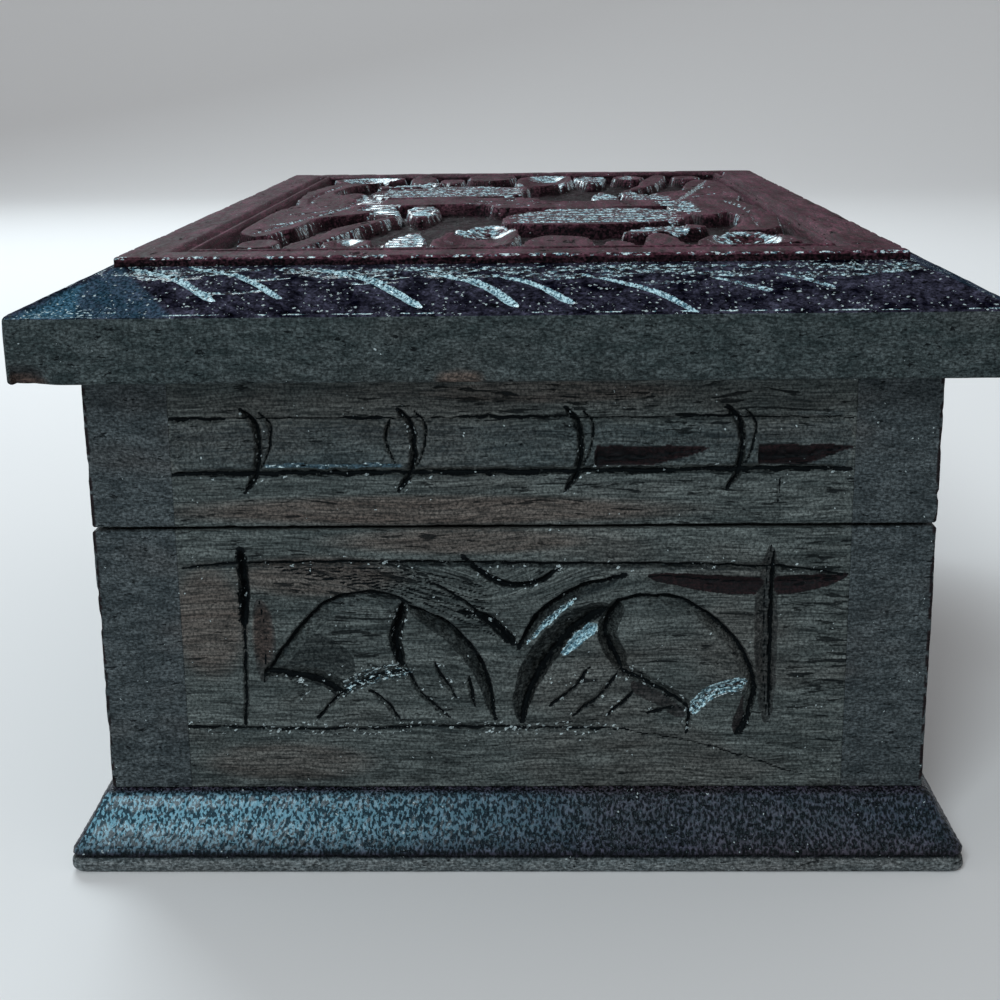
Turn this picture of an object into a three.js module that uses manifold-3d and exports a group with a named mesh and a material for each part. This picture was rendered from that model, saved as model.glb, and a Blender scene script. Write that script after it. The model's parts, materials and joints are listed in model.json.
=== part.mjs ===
// A carved hardwood trinket box with a hinged lid.
// Millimetres, +Z up. X runs across the box, Y along it, and the origin is the middle of the underside.
// The near end is at -Y, the opening side at +X and the hinged side at -X.
import * as THREE from "three";
import { mergeVertices } from "three/addons/utils/BufferGeometryUtils.js";
import Module from "manifold-3d";

const wasm = await Module();
wasm.setup();

// Carcass: one glued-up box, sawn apart into a tray and a lid rim
const BODY_WIDTH = 90;
const BODY_LENGTH = 140;
const WALL = 9;
const BASE_TOP = 8.5;
const SEAM = 38.4; // height of the middle of the saw cut
const SAW_CUT = 0.4;
const RIM_TOP = 55.2;

// Base board: its edge runs out in a slope that rounds into a short nose
const FOOT_OUT = 4.2;
const FOOT_NOSE_TOP = 2.4;
const FOOT_NOSE_BOTTOM = 1.5;
const FOOT_TUCK = 1.2; // how far the worn under-edge draws back in
const FOOT_CORNER = 1.6;

// Lid board: a square edge, a shallow bevel, and a raised field behind a small upright step
const LID_OVERHANG = 6;
const EDGE_HEIGHT = 7;
const BEVEL_WIDTH = 9.5;
const BEVEL_RISE = 3.8;
const FIELD_STEP = 1;
const LID_CORNER = 1.2;

// Carving on the field of the lid
const BORDER_INSET = 5.8; // from the edge of the field to the middle of the border groove
const BORDER_WIDTH = 2;
const BORDER_DEPTH = 0.9;
const GROUND_INSET = 7.4; // from the edge of the field to the sunk ground
const GROUND_DEPTH = 1.75;

// Carving on the tray and on the lid rim
const PANEL_FLOOR = 15.5; // height of the panel's lower line
const PANEL_HEIGHT = 18.7;
const PANEL_HALF = 28.2; // from a panel's middle to its upright lines
const SIDE_PANEL_OFFSET = 31; // the long sides hold two panels, this far each way from their middle
const RAIL_LOW = 44.3;
const RAIL_HIGH = 50.2;
const RAIL_MARGIN = 9.4; // plain wood at each end of a rail
const NODE_PITCH = 17;
const NODE_START = -27;
const TOOL_LIFT = 0.4; // how far a cutter stands above the surface that it cuts

// Hinges: two brass butts, let into both edges of the saw cut
const HINGE_LENGTH = 22;
const HINGE_AT = 42; // from the middle of the box to the middle of a hinge
const LEAF_WIDTH = 7;
const LEAF_THICKNESS = 0.9;
const KNUCKLES = 5;
const KNUCKLE_GAP = 0.2;
const BARREL_RADIUS = 1.5;
const BARREL_CLEAR = 0.1; // between the barrel and the back of the box
const BORE_RADIUS = 0.78;
const PIN_RADIUS = 0.7;
const PIN_HEAD = 0.5;
const MORTISE_CLEAR = 0.1;

// Screws: small countersunk brass wood screws, two to a leaf
const SCREW_LENGTH = 6.5;
const SCREW_HEAD_RADIUS = 1.65;
const SCREW_HEAD_DEPTH = 1.05;
const SCREW_SHANK_RADIUS = 0.85;
const SCREW_POINT = 1.6;
const SCREW_SPACING = 13;
const SCREW_FROM_BACK = 4.6;
const SCREW_CLEAR = 0.06;
const SCREW_SIDES = 10;
const ROUND_SIDES = 16; // facets round a barrel, a bore or a pin

const HALF_WIDTH = BODY_WIDTH / 2;
const HALF_LENGTH = BODY_LENGTH / 2;
const TRAY_TOP = SEAM - SAW_CUT / 2;
const RIM_BOTTOM = SEAM + SAW_CUT / 2;
const EDGE_TOP = RIM_TOP + EDGE_HEIGHT;
const BEVEL_TOP = EDGE_TOP + BEVEL_RISE;
const LID_TOP = BEVEL_TOP + FIELD_STEP;
const FIELD_HALF_WIDTH = HALF_WIDTH + LID_OVERHANG - BEVEL_WIDTH;
const FIELD_HALF_LENGTH = HALF_LENGTH + LID_OVERHANG - BEVEL_WIDTH;
const PIN_X = -HALF_WIDTH - BARREL_RADIUS - BARREL_CLEAR;

const wood = (color, roughness) => new THREE.MeshStandardMaterial({ color, roughness, metalness: 0 });
const TRAY_WOOD = wood(0x221e1b, 0.55);
const LID_WOOD = wood(0x241a19, 0.45);
const MOULDING_WOOD = wood(0x1c1c20, 0.35);
const BRASS = new THREE.MeshStandardMaterial({ color: 0x8a6a36, roughness: 0.4, metalness: 1 });

// A geometry as a closed solid, and back again with flat shading.
function solidFrom(geometry) {
  const bare = geometry.index ? geometry.toNonIndexed() : geometry.clone();
  bare.deleteAttribute("normal");
  bare.deleteAttribute("uv");
  const merged = mergeVertices(bare, 1e-4);
  const mesh = new wasm.Mesh({
    numProp: 3,
    vertProperties: new Float32Array(merged.attributes.position.array),
    triVerts: new Uint32Array(merged.index.array),
  });
  return new wasm.Manifold(mesh);
}

function geometryFrom(solid) {
  const mesh = solid.getMesh();
  const geometry = new THREE.BufferGeometry();
  geometry.setAttribute("position", new THREE.BufferAttribute(new Float32Array(mesh.vertProperties), 3));
  geometry.setIndex(new THREE.BufferAttribute(new Uint32Array(mesh.triVerts), 1));
  const flat = geometry.toNonIndexed();
  flat.computeVertexNormals();
  return flat;
}

const joined = (solids) => solids.reduce((all, next) => all.add(next));

function cutFrom(solid, cutters) {
  return cutters.length ? solid.subtract(joined(cutters)) : solid;
}

// A block given by its lowest and highest corners.
function block(low, high) {
  const size = high.map((value, axis) => value - low[axis]);
  const middle = high.map((value, axis) => (value + low[axis]) / 2);
  return new THREE.BoxGeometry(...size).translate(...middle);
}

// A closed skin over a stack of convex rings, each with the same number of points.
function loft(rings) {
  const count = rings[0].length;
  const positions = rings.flat().flatMap((point) => [point.x, point.y, point.z]);
  const faces = [];
  for (let ring = 0; ring < rings.length - 1; ring += 1) {
    for (let i = 0; i < count; i += 1) {
      const a = ring * count + i;
      const b = ring * count + ((i + 1) % count);
      faces.push(a, b, b + count, a, b + count, a + count);
    }
  }
  const last = (rings.length - 1) * count;
  for (let i = 1; i < count - 1; i += 1) {
    faces.push(0, i + 1, i);
    faces.push(last, last + i, last + i + 1);
  }
  const geometry = new THREE.BufferGeometry();
  geometry.setAttribute("position", new THREE.Float32BufferAttribute(positions, 3));
  geometry.setIndex(faces);
  return geometry;
}

// A rectangle with rounded corners, counter-clockwise seen from above.
function roundedRing(halfWidth, halfLength, radius, height, cornerSteps = 3) {
  const ring = [];
  for (let corner = 0; corner < 4; corner += 1) {
    const signX = corner === 0 || corner === 3 ? 1 : -1;
    const signY = corner < 2 ? 1 : -1;
    for (let step = 0; step <= cornerSteps; step += 1) {
      const angle = (corner + step / cornerSteps) * (Math.PI / 2);
      const x = signX * (halfWidth - radius) + radius * Math.cos(angle);
      const y = signY * (halfLength - radius) + radius * Math.sin(angle);
      ring.push(new THREE.Vector3(x, y, height));
    }
  }
  return ring;
}

// A board whose edge follows a profile of points: x is how far out from the carcass, y the height.
function mouldedBoard(profile, cornerRadius) {
  const rings = profile.map((point) =>
    roundedRing(HALF_WIDTH + point.x, HALF_LENGTH + point.x, cornerRadius, point.y),
  );
  return loft(rings);
}

// A face to carve: u runs along it, v up it, and w straight out of it.
function faceFrame(origin, u, v) {
  const along = new THREE.Vector3(...u);
  const up = new THREE.Vector3(...v).normalize();
  const out = new THREE.Vector3().crossVectors(along, up);
  return new THREE.Matrix4().makeBasis(along, up, out).setPosition(...origin);
}

const NEAR_FACE = faceFrame([0, -HALF_LENGTH, 0], [1, 0, 0], [0, 0, 1]);
const FAR_FACE = faceFrame([0, HALF_LENGTH, 0], [-1, 0, 0], [0, 0, 1]);
const RIGHT_FACE = faceFrame([HALF_WIDTH, 0, 0], [0, 1, 0], [0, 0, 1]);
const LEFT_FACE = faceFrame([-HALF_WIDTH, 0, 0], [0, -1, 0], [0, 0, 1]);

// One stroke of a V gouge: it starts, bends towards a point, and ends, and it is deepest in the middle.
const stroke = (from, bend, to, width, depth, steps = 4) => ({ from, bend, to, width, depth, steps });

function straight(from, to, width, depth) {
  const middle = [(from[0] + to[0]) / 2, (from[1] + to[1]) / 2];
  return stroke(from, middle, to, width, depth);
}

function shifted(cut, along, mirrored = false) {
  const move = ([u, v]) => [(mirrored ? -u : u) + along, v];
  return { ...cut, from: move(cut.from), bend: move(cut.bend), to: move(cut.to) };
}

// The solid that a stroke takes out: a boat-shaped wedge along its curve.
function gougeCut(cut, face) {
  const curve = new THREE.QuadraticBezierCurve(
    new THREE.Vector2(...cut.from),
    new THREE.Vector2(...cut.bend),
    new THREE.Vector2(...cut.to),
  );
  const flare = cut.width / 2 / cut.depth;
  const rings = [];
  for (let step = 0; step <= cut.steps; step += 1) {
    const t = step / cut.steps;
    const at = curve.getPoint(t);
    const along = curve.getTangent(t);
    const depth = cut.depth * Math.sin(Math.PI * t) ** 0.7 - 0.02;
    const half = (depth + TOOL_LIFT) * flare;
    rings.push([
      new THREE.Vector3(at.x + along.y * half, at.y - along.x * half, TOOL_LIFT),
      new THREE.Vector3(at.x - along.y * half, at.y + along.x * half, TOOL_LIFT),
      new THREE.Vector3(at.x, at.y, -depth),
    ]);
  }
  return solidFrom(loft(rings.reverse()).applyMatrix4(face));
}

const cutAll = (strokes, face) => strokes.map((cut) => gougeCut(cut, face));

// The right half of the leaf-and-pod panel. v is counted from the panel's lower line.
const POD_AND_LEAF = [
  stroke([11, 14.5], [20.6, 17.4], [24.5, 9], 1.1, 0.7),
  stroke([23.8, 10.4], [27, 5.4], [25, -0.4], 1.1, 0.7),
  stroke([11.4, 14.3], [9.6, 10.4], [12, 6.5], 1.9, 0.9),
  stroke([11.8, 6.6], [15.2, 5.2], [19.3, 1.8], 1.3, 0.8),
  stroke([19.3, 1.8], [21.4, 4.6], [25.6, 5.1], 1.3, 0.8),
  stroke([11.1, 15], [2.1, 12.4], [1, 0.8], 3.4, 1.4, 5),
  stroke([0.9, 9.8], [3.8, 16.4], [11.6, 17.2], 1.7, 0.9),
  stroke([8.2, 6.6], [6.9, 4.2], [4, 2.7], 0.8, 0.5, 3),
  stroke([11.2, 5.9], [9.6, 3.2], [6.9, 1.6], 0.8, 0.5, 3),
];
const CREST = stroke([-4.8, 18.9], [0, 13.6], [4.8, 18.2], 0.9, 0.6);

// One whole panel: the half above, its mirror image, the crest and the four framing lines.
function panelStrokes(middle) {
  const top = PANEL_HEIGHT;
  const overshoot = 1.8;
  const strokes = [CREST, ...POD_AND_LEAF].map((cut) => shifted(cut, middle));
  strokes.push(...POD_AND_LEAF.map((cut) => shifted(cut, middle, true)));
  for (const side of [-1, 1]) {
    const u = middle + side * PANEL_HALF;
    strokes.push(straight([u, top + overshoot], [u, 0], 1.5, 0.8));
  }
  return strokes;
}

function panelFrameLines(halfRun) {
  return [
    straight([-halfRun, PANEL_HEIGHT], [halfRun, PANEL_HEIGHT], 1, 0.6),
    straight([-halfRun, 0], [halfRun, 0], 0.9, 0.5),
  ];
}

const raised = (face, height) => face.clone().multiply(new THREE.Matrix4().makeTranslation(0, height, 0));

// The rail on the lid rim: two long lines and the joints of a cane between them.
function railStrokes(halfRun) {
  const strokes = [
    straight([-halfRun, RAIL_HIGH], [halfRun, RAIL_HIGH], 0.9, 0.6),
    straight([-halfRun, RAIL_LOW], [halfRun, RAIL_LOW], 0.9, 0.7),
  ];
  const reach = Math.floor((halfRun + NODE_START) / NODE_PITCH);
  for (let u = NODE_START - reach * NODE_PITCH; u < halfRun - 2; u += NODE_PITCH) {
    strokes.push(stroke([u - 0.9, RAIL_HIGH + 0.9], [u + 1.6, 47.4], [u - 0.8, RAIL_LOW - 1.6], 1.2, 0.8));
  }
  return strokes;
}

// Hinge leaves. A leaf is drawn about its pin at the origin, with +X into the box and z up from the pin.
const HINGE_MIDDLES = { near_hinge: -HINGE_AT, far_hinge: HINGE_AT };
const LEAF_START = BARREL_RADIUS + BARREL_CLEAR;
const LEAF_LOW = SAW_CUT / 2;
const LEAF_HIGH = LEAF_LOW + LEAF_THICKNESS;
const SCREW_X = LEAF_START + SCREW_FROM_BACK;
const SCREW_PLACES = [-SCREW_SPACING / 2, SCREW_SPACING / 2];

function rod(radius, from, to) {
  const geometry = new THREE.CylinderGeometry(radius, radius, to - from, ROUND_SIDES);
  return geometry.translate(0, (from + to) / 2, 0);
}

function knuckleSpan(index) {
  const pitch = HINGE_LENGTH / KNUCKLES;
  const start = -HINGE_LENGTH / 2 + index * pitch;
  return [start + KNUCKLE_GAP / 2, start + pitch - KNUCKLE_GAP / 2];
}

// A screw, or with clearance the hole that it goes in, standing head up at the origin.
function screwGeometry(clear = 0) {
  const head = SCREW_HEAD_RADIUS + clear;
  const shank = SCREW_SHANK_RADIUS + clear;
  const profile = [
    new THREE.Vector2(0, -SCREW_LENGTH - clear),
    new THREE.Vector2(shank, -SCREW_LENGTH + SCREW_POINT),
    new THREE.Vector2(shank, -SCREW_HEAD_DEPTH),
    new THREE.Vector2(head, 0),
  ];
  if (clear) profile.push(new THREE.Vector2(head, TOOL_LIFT), new THREE.Vector2(0, TOOL_LIFT));
  else profile.push(new THREE.Vector2(0, 0));
  return new THREE.LatheGeometry(profile, SCREW_SIDES).rotateX(Math.PI / 2);
}

// The screw holes of a leaf that lies on the lower side of the saw cut.
function screwHoles(height) {
  return SCREW_PLACES.map((y) => solidFrom(screwGeometry(SCREW_CLEAR).translate(SCREW_X, y, height)));
}

// The lower leaf, on the tray. The upper one is the same shape turned over, with the other knuckles.
function lowerLeaf(ownKnuckle) {
  const plate = block(
    [LEAF_START, -HINGE_LENGTH / 2, -LEAF_HIGH],
    [LEAF_START + LEAF_WIDTH, HINGE_LENGTH / 2, -LEAF_LOW],
  );
  const parts = [solidFrom(plate)];
  for (let index = 0; index < KNUCKLES; index += 1) {
    if (!ownKnuckle(index)) continue;
    const [from, to] = knuckleSpan(index);
    parts.push(solidFrom(block([0, from, -LEAF_HIGH], [LEAF_START + 0.5, to, -LEAF_LOW])));
    parts.push(solidFrom(rod(BARREL_RADIUS, from, to)));
  }
  const bore = solidFrom(rod(BORE_RADIUS, -HINGE_LENGTH, HINGE_LENGTH));
  return cutFrom(joined(parts), [bore, ...screwHoles(-LEAF_LOW)]);
}

function pinGeometry() {
  const half = HINGE_LENGTH / 2;
  const profile = [
    new THREE.Vector2(0, -half - PIN_HEAD),
    new THREE.Vector2(PIN_RADIUS * 0.8, -half - PIN_HEAD),
    new THREE.Vector2(PIN_RADIUS, -half - PIN_HEAD * 0.5),
    new THREE.Vector2(PIN_RADIUS, half + PIN_HEAD * 0.5),
    new THREE.Vector2(PIN_RADIUS * 0.8, half + PIN_HEAD),
    new THREE.Vector2(0, half + PIN_HEAD),
  ];
  return new THREE.LatheGeometry(profile, ROUND_SIDES);
}

// What a hinge needs cut out of the tray's edge: the leaf's bed and the screw holes. The rim's is its mirror.
function hingeBeds() {
  return Object.values(HINGE_MIDDLES).flatMap((middle) => {
    const bed = block(
      [-BARREL_RADIUS, -HINGE_LENGTH / 2 - MORTISE_CLEAR, -LEAF_HIGH],
      [LEAF_START + LEAF_WIDTH + MORTISE_CLEAR, HINGE_LENGTH / 2 + MORTISE_CLEAR, TOOL_LIFT],
    );
    return [solidFrom(bed), ...screwHoles(-LEAF_LOW)].map((cut) => cut.translate([0, middle, 0]));
  });
}

const turnedOver = (solid) => solid.mirror([0, 0, 1]);
const atPin = (solid) => solid.translate([PIN_X, 0, SEAM]);

// Carcass boards: the long sides run the full length, and the ends fit between them.
function sideBoard(sign, low, high, strokes, face, extraCuts = []) {
  const inner = sign * (HALF_WIDTH - WALL);
  const outer = sign * HALF_WIDTH;
  const board = block(
    [Math.min(inner, outer), -HALF_LENGTH, low],
    [Math.max(inner, outer), HALF_LENGTH, high],
  );
  return cutFrom(solidFrom(board), [...cutAll(strokes, face), ...extraCuts]);
}

function endBoard(sign, low, high, strokes, face) {
  const inner = sign * (HALF_LENGTH - WALL);
  const outer = sign * HALF_LENGTH;
  const reach = HALF_WIDTH - WALL;
  const board = block(
    [-reach, Math.min(inner, outer), low],
    [reach, Math.max(inner, outer), high],
  );
  return cutFrom(solidFrom(board), cutAll(strokes, face));
}

function trayBoards() {
  const endStrokes = [...panelStrokes(0), ...panelFrameLines(HALF_WIDTH - RAIL_MARGIN)];
  const sideStrokes = [
    ...panelStrokes(-SIDE_PANEL_OFFSET),
    ...panelStrokes(SIDE_PANEL_OFFSET),
    ...panelFrameLines(HALF_LENGTH - RAIL_MARGIN),
  ];
  const beds = hingeBeds().map(atPin);
  return {
    tray_left_side: sideBoard(-1, BASE_TOP, TRAY_TOP, sideStrokes, raised(LEFT_FACE, PANEL_FLOOR), beds),
    tray_right_side: sideBoard(1, BASE_TOP, TRAY_TOP, sideStrokes, raised(RIGHT_FACE, PANEL_FLOOR)),
    tray_near_end: endBoard(-1, BASE_TOP, TRAY_TOP, endStrokes, raised(NEAR_FACE, PANEL_FLOOR)),
    tray_far_end: endBoard(1, BASE_TOP, TRAY_TOP, endStrokes, raised(FAR_FACE, PANEL_FLOOR)),
  };
}

function rimBoards() {
  const endStrokes = railStrokes(HALF_WIDTH - RAIL_MARGIN);
  const sideStrokes = railStrokes(HALF_LENGTH - RAIL_MARGIN);
  const beds = hingeBeds().map(turnedOver).map(atPin);
  return {
    rim_left_side: sideBoard(-1, RIM_BOTTOM, RIM_TOP, sideStrokes, LEFT_FACE, beds),
    rim_right_side: sideBoard(1, RIM_BOTTOM, RIM_TOP, sideStrokes, RIGHT_FACE),
    rim_near_end: endBoard(-1, RIM_BOTTOM, RIM_TOP, endStrokes, NEAR_FACE),
    rim_far_end: endBoard(1, RIM_BOTTOM, RIM_TOP, endStrokes, FAR_FACE),
  };
}

function baseBoard() {
  const edge = new THREE.Path();
  edge.moveTo(FOOT_OUT - FOOT_TUCK, 0);
  edge.quadraticCurveTo(FOOT_OUT, 0.2, FOOT_OUT, FOOT_NOSE_BOTTOM);
  edge.lineTo(FOOT_OUT, FOOT_NOSE_TOP);
  edge.bezierCurveTo(FOOT_OUT - 0.5, 4.6, 1.9, 6.6, 0, BASE_TOP);
  return mouldedBoard(edge.getPoints(4), FOOT_CORNER);
}

// The gouge strokes on one bevel of the lid: they leave the step level and sweep down to the edge.
const END_FEATHERS = [-39.7, -33.3, -20.8, -7.9, -1.4, 7.9, 20.7, 27.5];
const FEATHER_REACH = 9.9;
const FEATHER_PAIR = 6.5;
const FEATHER_PITCH = 19;

function sideFeathers() {
  const starts = [];
  for (let u = -HALF_LENGTH + 3; u < HALF_LENGTH - FEATHER_REACH; u += FEATHER_PITCH) {
    starts.push(u, u + FEATHER_PAIR);
  }
  return starts;
}

function featherStrokes(starts) {
  return starts.map((u) => stroke([u, 9], [u + 6.8, 8.3], [u + FEATHER_REACH, 2], 1.3, 0.5, 3));
}

function bevelFace(origin, along, inward) {
  return faceFrame(origin, along, [...inward.map((value) => value * BEVEL_WIDTH), BEVEL_RISE]);
}

function bevelCuts() {
  const outX = HALF_WIDTH + LID_OVERHANG;
  const outY = HALF_LENGTH + LID_OVERHANG;
  const ends = featherStrokes(END_FEATHERS);
  const sides = featherStrokes(sideFeathers());
  return [
    ...cutAll(ends, bevelFace([0, -outY, EDGE_TOP], [1, 0, 0], [0, 1])),
    ...cutAll(ends, bevelFace([0, outY, EDGE_TOP], [-1, 0, 0], [0, -1])),
    ...cutAll(sides, bevelFace([outX, 0, EDGE_TOP], [0, 1, 0], [-1, 0])),
    ...cutAll(sides, bevelFace([-outX, 0, EDGE_TOP], [0, -1, 0], [1, 0])),
  ];
}

// The border groove: a V ring with mitred corners, between two rectangles and a deeper one.
function borderGroove() {
  const halfWidth = FIELD_HALF_WIDTH - BORDER_INSET;
  const halfLength = FIELD_HALF_LENGTH - BORDER_INSET;
  const ring = (grow, height) => roundedRing(halfWidth + grow, halfLength + grow, 0.4, height, 1);
  const half = BORDER_WIDTH / 2;
  const lift = half * (1 + TOOL_LIFT / BORDER_DEPTH);
  const bottom = LID_TOP - BORDER_DEPTH;
  const top = LID_TOP + TOOL_LIFT;
  const opening = solidFrom(loft([ring(0, bottom), ring(lift, top)]));
  const core = loft([ring(0, bottom - 1), ring(0, bottom), ring(-lift, top), ring(-lift, top + 1)]);
  return opening.subtract(solidFrom(core));
}

// What stands from the sunk ground: the depth of its top, and a smooth closed line through a few points.
const oval = (x, y, halfX, halfY) => new THREE.EllipseCurve(x, y, halfX, halfY).getPoints(10).slice(1);
const MIDDLE_BAND = [0.1, [
  [-27, 0], [-22, -6], [-17.5, -7], [-15.5, -3.2], [-5, -2.8], [-3, -8.5], [4, -9.8], [14, -9.2], [22, -7],
  [27, 0], [22, 6], [17.5, 7], [15.5, 3.2], [5, 2.8], [3, 8.5], [-4, 9.8], [-14, 9.2], [-22, 7],
]];
const BROAD_LEAF = [0.1, [
  [-33, -40], [-29.5, -45], [-27.5, -38], [-26, -30], [-25.5, -22], [-20.5, -16], [-17.5, -8], [-19, 2],
  [-24, 8], [-30, 4], [-33, -8], [-33.5, -25],
]];
const LEAF_BLADES = [
  [0.2, [[-25.6, -57], [-21.8, -33], [-19.2, -25.5], [-15.4, -17], [-16.8, -25], [-20, -42], [-23, -57.5]]],
  [0.15, [[-27.4, 19], [-24, 21], [-20.5, 8], [-17.4, -4], [-15.4, -14], [-17, -20], [-20, -15], [-25.4, 6]]],
  [0.25, [[-15, -4], [-12, -3], [-10.6, -8], [-11.2, -16], [-13, -21], [-14.8, -14]]],
  [0.2, [[-14.5, -57], [-13.7, -44], [-11, -41.5], [-9.6, -50], [-9.7, -58]]],
  [0.2, [[12.8, -43], [16, -35.5], [21, -33.5], [23.6, -37], [19, -41.5], [15, -44.5]]],
  [0.1, [[25.5, -42], [31, -41.5], [33.3, -30], [33.3, -12], [30, 6], [25.5, -2], [28.6, -22], [27.5, -34]]],
];
const SEED_PODS = [
  [0.3, [[-9, -57], [-8.5, -44], [-6.5, -37], [-2.5, -33], [0.6, -38], [0.9, -47], [-0.3, -56], [-4, -59]]],
  [0.1, [[-1.5, -30], [3, -33.5], [12, -33.8], [20, -30], [23, -22], [21, -12], [14, -9.4], [5, -10.5]]],
  [0.3, [[20.5, -57], [22, -49], [25.5, -43.5], [30.5, -46], [32.5, -54], [27, -58.5]]],
  [0.2, [[0.9, -58], [1.8, -50], [4.5, -46.5], [8.5, -49], [9.4, -56], [8, -59.5], [3, -60]]],
  [0.6, [[9.9, -58], [10.4, -50], [12.5, -48.5], [14, -52], [14, -58]]],
  [0.3, [[14.9, -58.5], [15.2, -47], [17.2, -43], [19, -48], [19.3, -58.5]]],
];
const BERRIES = [[0.2, oval(-28.6, -52, 2.6, 4.6)], [0.2, oval(-18.6, -52.5, 2.9, 5.2)]];

const ISLAND_CHAMFER = 0.35;

function islandSolid([top, outline]) {
  const points = outline.map((point) => new THREE.Vector3(...point));
  const line = new THREE.CatmullRomCurve3(points, true, "catmullrom", 0.5).getPoints(outline.length * 2);
  const geometry = new THREE.ExtrudeGeometry(new THREE.Shape(line.slice(1)), {
    depth: GROUND_DEPTH - top - ISLAND_CHAMFER,
    bevelThickness: ISLAND_CHAMFER,
    bevelSize: ISLAND_CHAMFER,
    bevelOffset: -ISLAND_CHAMFER,
    bevelSegments: 1,
  });
  return solidFrom(geometry.translate(0, 0, LID_TOP - GROUND_DEPTH));
}

// The relief on the field: leaves, pods and berries on the near half, and the same turned round behind.
function reliefSolids() {
  const nearHalf = [BROAD_LEAF, ...LEAF_BLADES, ...SEED_PODS, ...BERRIES].map(islandSolid);
  const farHalf = nearHalf.map((solid) => solid.rotate([0, 0, 180]));
  return [islandSolid(MIDDLE_BAND), ...nearHalf, ...farHalf];
}

// Strokes on what stands, seen from above: midribs on the leaves, seams on the pods, and a rosette.
const LEAF_RIBS = [
  stroke([-22, 4], [-26, -20], [-31, -43], 1, 0.6),
  stroke([29.6, 2], [32, -16], [29.4, -40], 1, 0.5),
  stroke([-24.4, -55], [-20.6, -37], [-16.2, -20], 0.7, 0.4, 3),
  stroke([-25.2, 17], [-20.6, 0], [-17, -16], 0.8, 0.4, 3),
  stroke([-12.2, -57], [-12.6, -50], [-12, -43], 0.8, 0.4, 3),
  stroke([14, -43.6], [18, -39], [22.6, -36.4], 0.8, 0.4, 3),
  stroke([-4.4, -57], [-3, -47], [-3, -36], 1.2, 0.5, 3),
  stroke([0.4, -27], [10, -26.5], [22, -21], 1.2, 0.5, 3),
  stroke([2, -16.5], [11, -17.5], [20.6, -14], 1.2, 0.5, 3),
  stroke([27, -57], [26, -51], [25.6, -45], 1.2, 0.5, 3),
];
const PETALS = 6;
const PETAL_LENGTH = 7;

function ribCuts() {
  const top = faceFrame([0, 0, LID_TOP], [1, 0, 0], [0, 1, 0]);
  const nearHalf = cutAll(LEAF_RIBS, top);
  const petal = gougeCut(stroke([1.6, 0], [PETAL_LENGTH / 2, 1.2], [PETAL_LENGTH, 0], 1.4, 0.5, 3), top);
  const rosette = Array.from({ length: PETALS }, (_, i) => petal.rotate([0, 0, (i * 360) / PETALS]));
  return [...nearHalf, ...nearHalf.map((solid) => solid.rotate([0, 0, 180])), ...rosette];
}

function lidBoard() {
  const out = LID_OVERHANG;
  const inset = LID_OVERHANG - BEVEL_WIDTH;
  const profile = [
    new THREE.Vector2(out - 0.3, RIM_TOP),
    new THREE.Vector2(out, RIM_TOP + 0.3),
    new THREE.Vector2(out, EDGE_TOP),
    new THREE.Vector2(inset, BEVEL_TOP),
    new THREE.Vector2(inset, LID_TOP),
  ];
  const board = solidFrom(mouldedBoard(profile, LID_CORNER));
  const ground = block(
    [-FIELD_HALF_WIDTH + GROUND_INSET, -FIELD_HALF_LENGTH + GROUND_INSET, LID_TOP - GROUND_DEPTH],
    [FIELD_HALF_WIDTH - GROUND_INSET, FIELD_HALF_LENGTH - GROUND_INSET, LID_TOP + TOOL_LIFT],
  );
  const sunk = solidFrom(ground).subtract(joined(reliefSolids()));
  return cutFrom(board, [sunk, borderGroove(), ...ribCuts(), ...bevelCuts()]);
}

// Assembly
const box = new THREE.Group();

function place(parent, name, geometry, material) {
  const mesh = new THREE.Mesh(geometry, material);
  mesh.name = name;
  parent.add(mesh);
}

place(box, "base_board", baseBoard(), MOULDING_WOOD);
for (const [name, solid] of Object.entries({ ...trayBoards(), ...rimBoards() })) {
  place(box, name, geometryFrom(solid), TRAY_WOOD);
}
place(box, "lid_board", geometryFrom(lidBoard()), LID_WOOD);

const trayLeaf = geometryFrom(lowerLeaf((index) => index % 2 === 0));
const rimLeaf = geometryFrom(turnedOver(lowerLeaf((index) => index % 2 === 1)));
for (const [name, middle] of Object.entries(HINGE_MIDDLES)) {
  const hinge = new THREE.Group();
  hinge.position.set(PIN_X, middle, SEAM);
  box.add(hinge);
  place(hinge, `${name}_tray_leaf`, trayLeaf, BRASS);
  place(hinge, `${name}_lid_leaf`, rimLeaf, BRASS);
  place(hinge, `${name}_pin`, pinGeometry(), BRASS);
  SCREW_PLACES.forEach((y, index) => {
    const trayScrew = screwGeometry().translate(SCREW_X, y, -LEAF_LOW);
    const lidScrew = screwGeometry().rotateX(Math.PI).translate(SCREW_X, y, LEAF_LOW);
    place(hinge, `${name}_tray_screw_${index + 1}`, trayScrew, BRASS);
    place(hinge, `${name}_lid_screw_${index + 1}`, lidScrew, BRASS);
  });
}

export default box;
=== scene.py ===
# %% [markdown]
# # A carved trinket box
# This lesson dresses a measured model of a small carved box. The model gives every board, hinge and
# screw its place. Here each piece gets the surface that a hand gave it: gouge cuts, worn arrises,
# dark stain over open grain, and brass that has dulled.

# %% Load the measured model
import json
import math
import bmesh
import bpy
import numpy as np
from mathutils import Matrix, Vector


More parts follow.
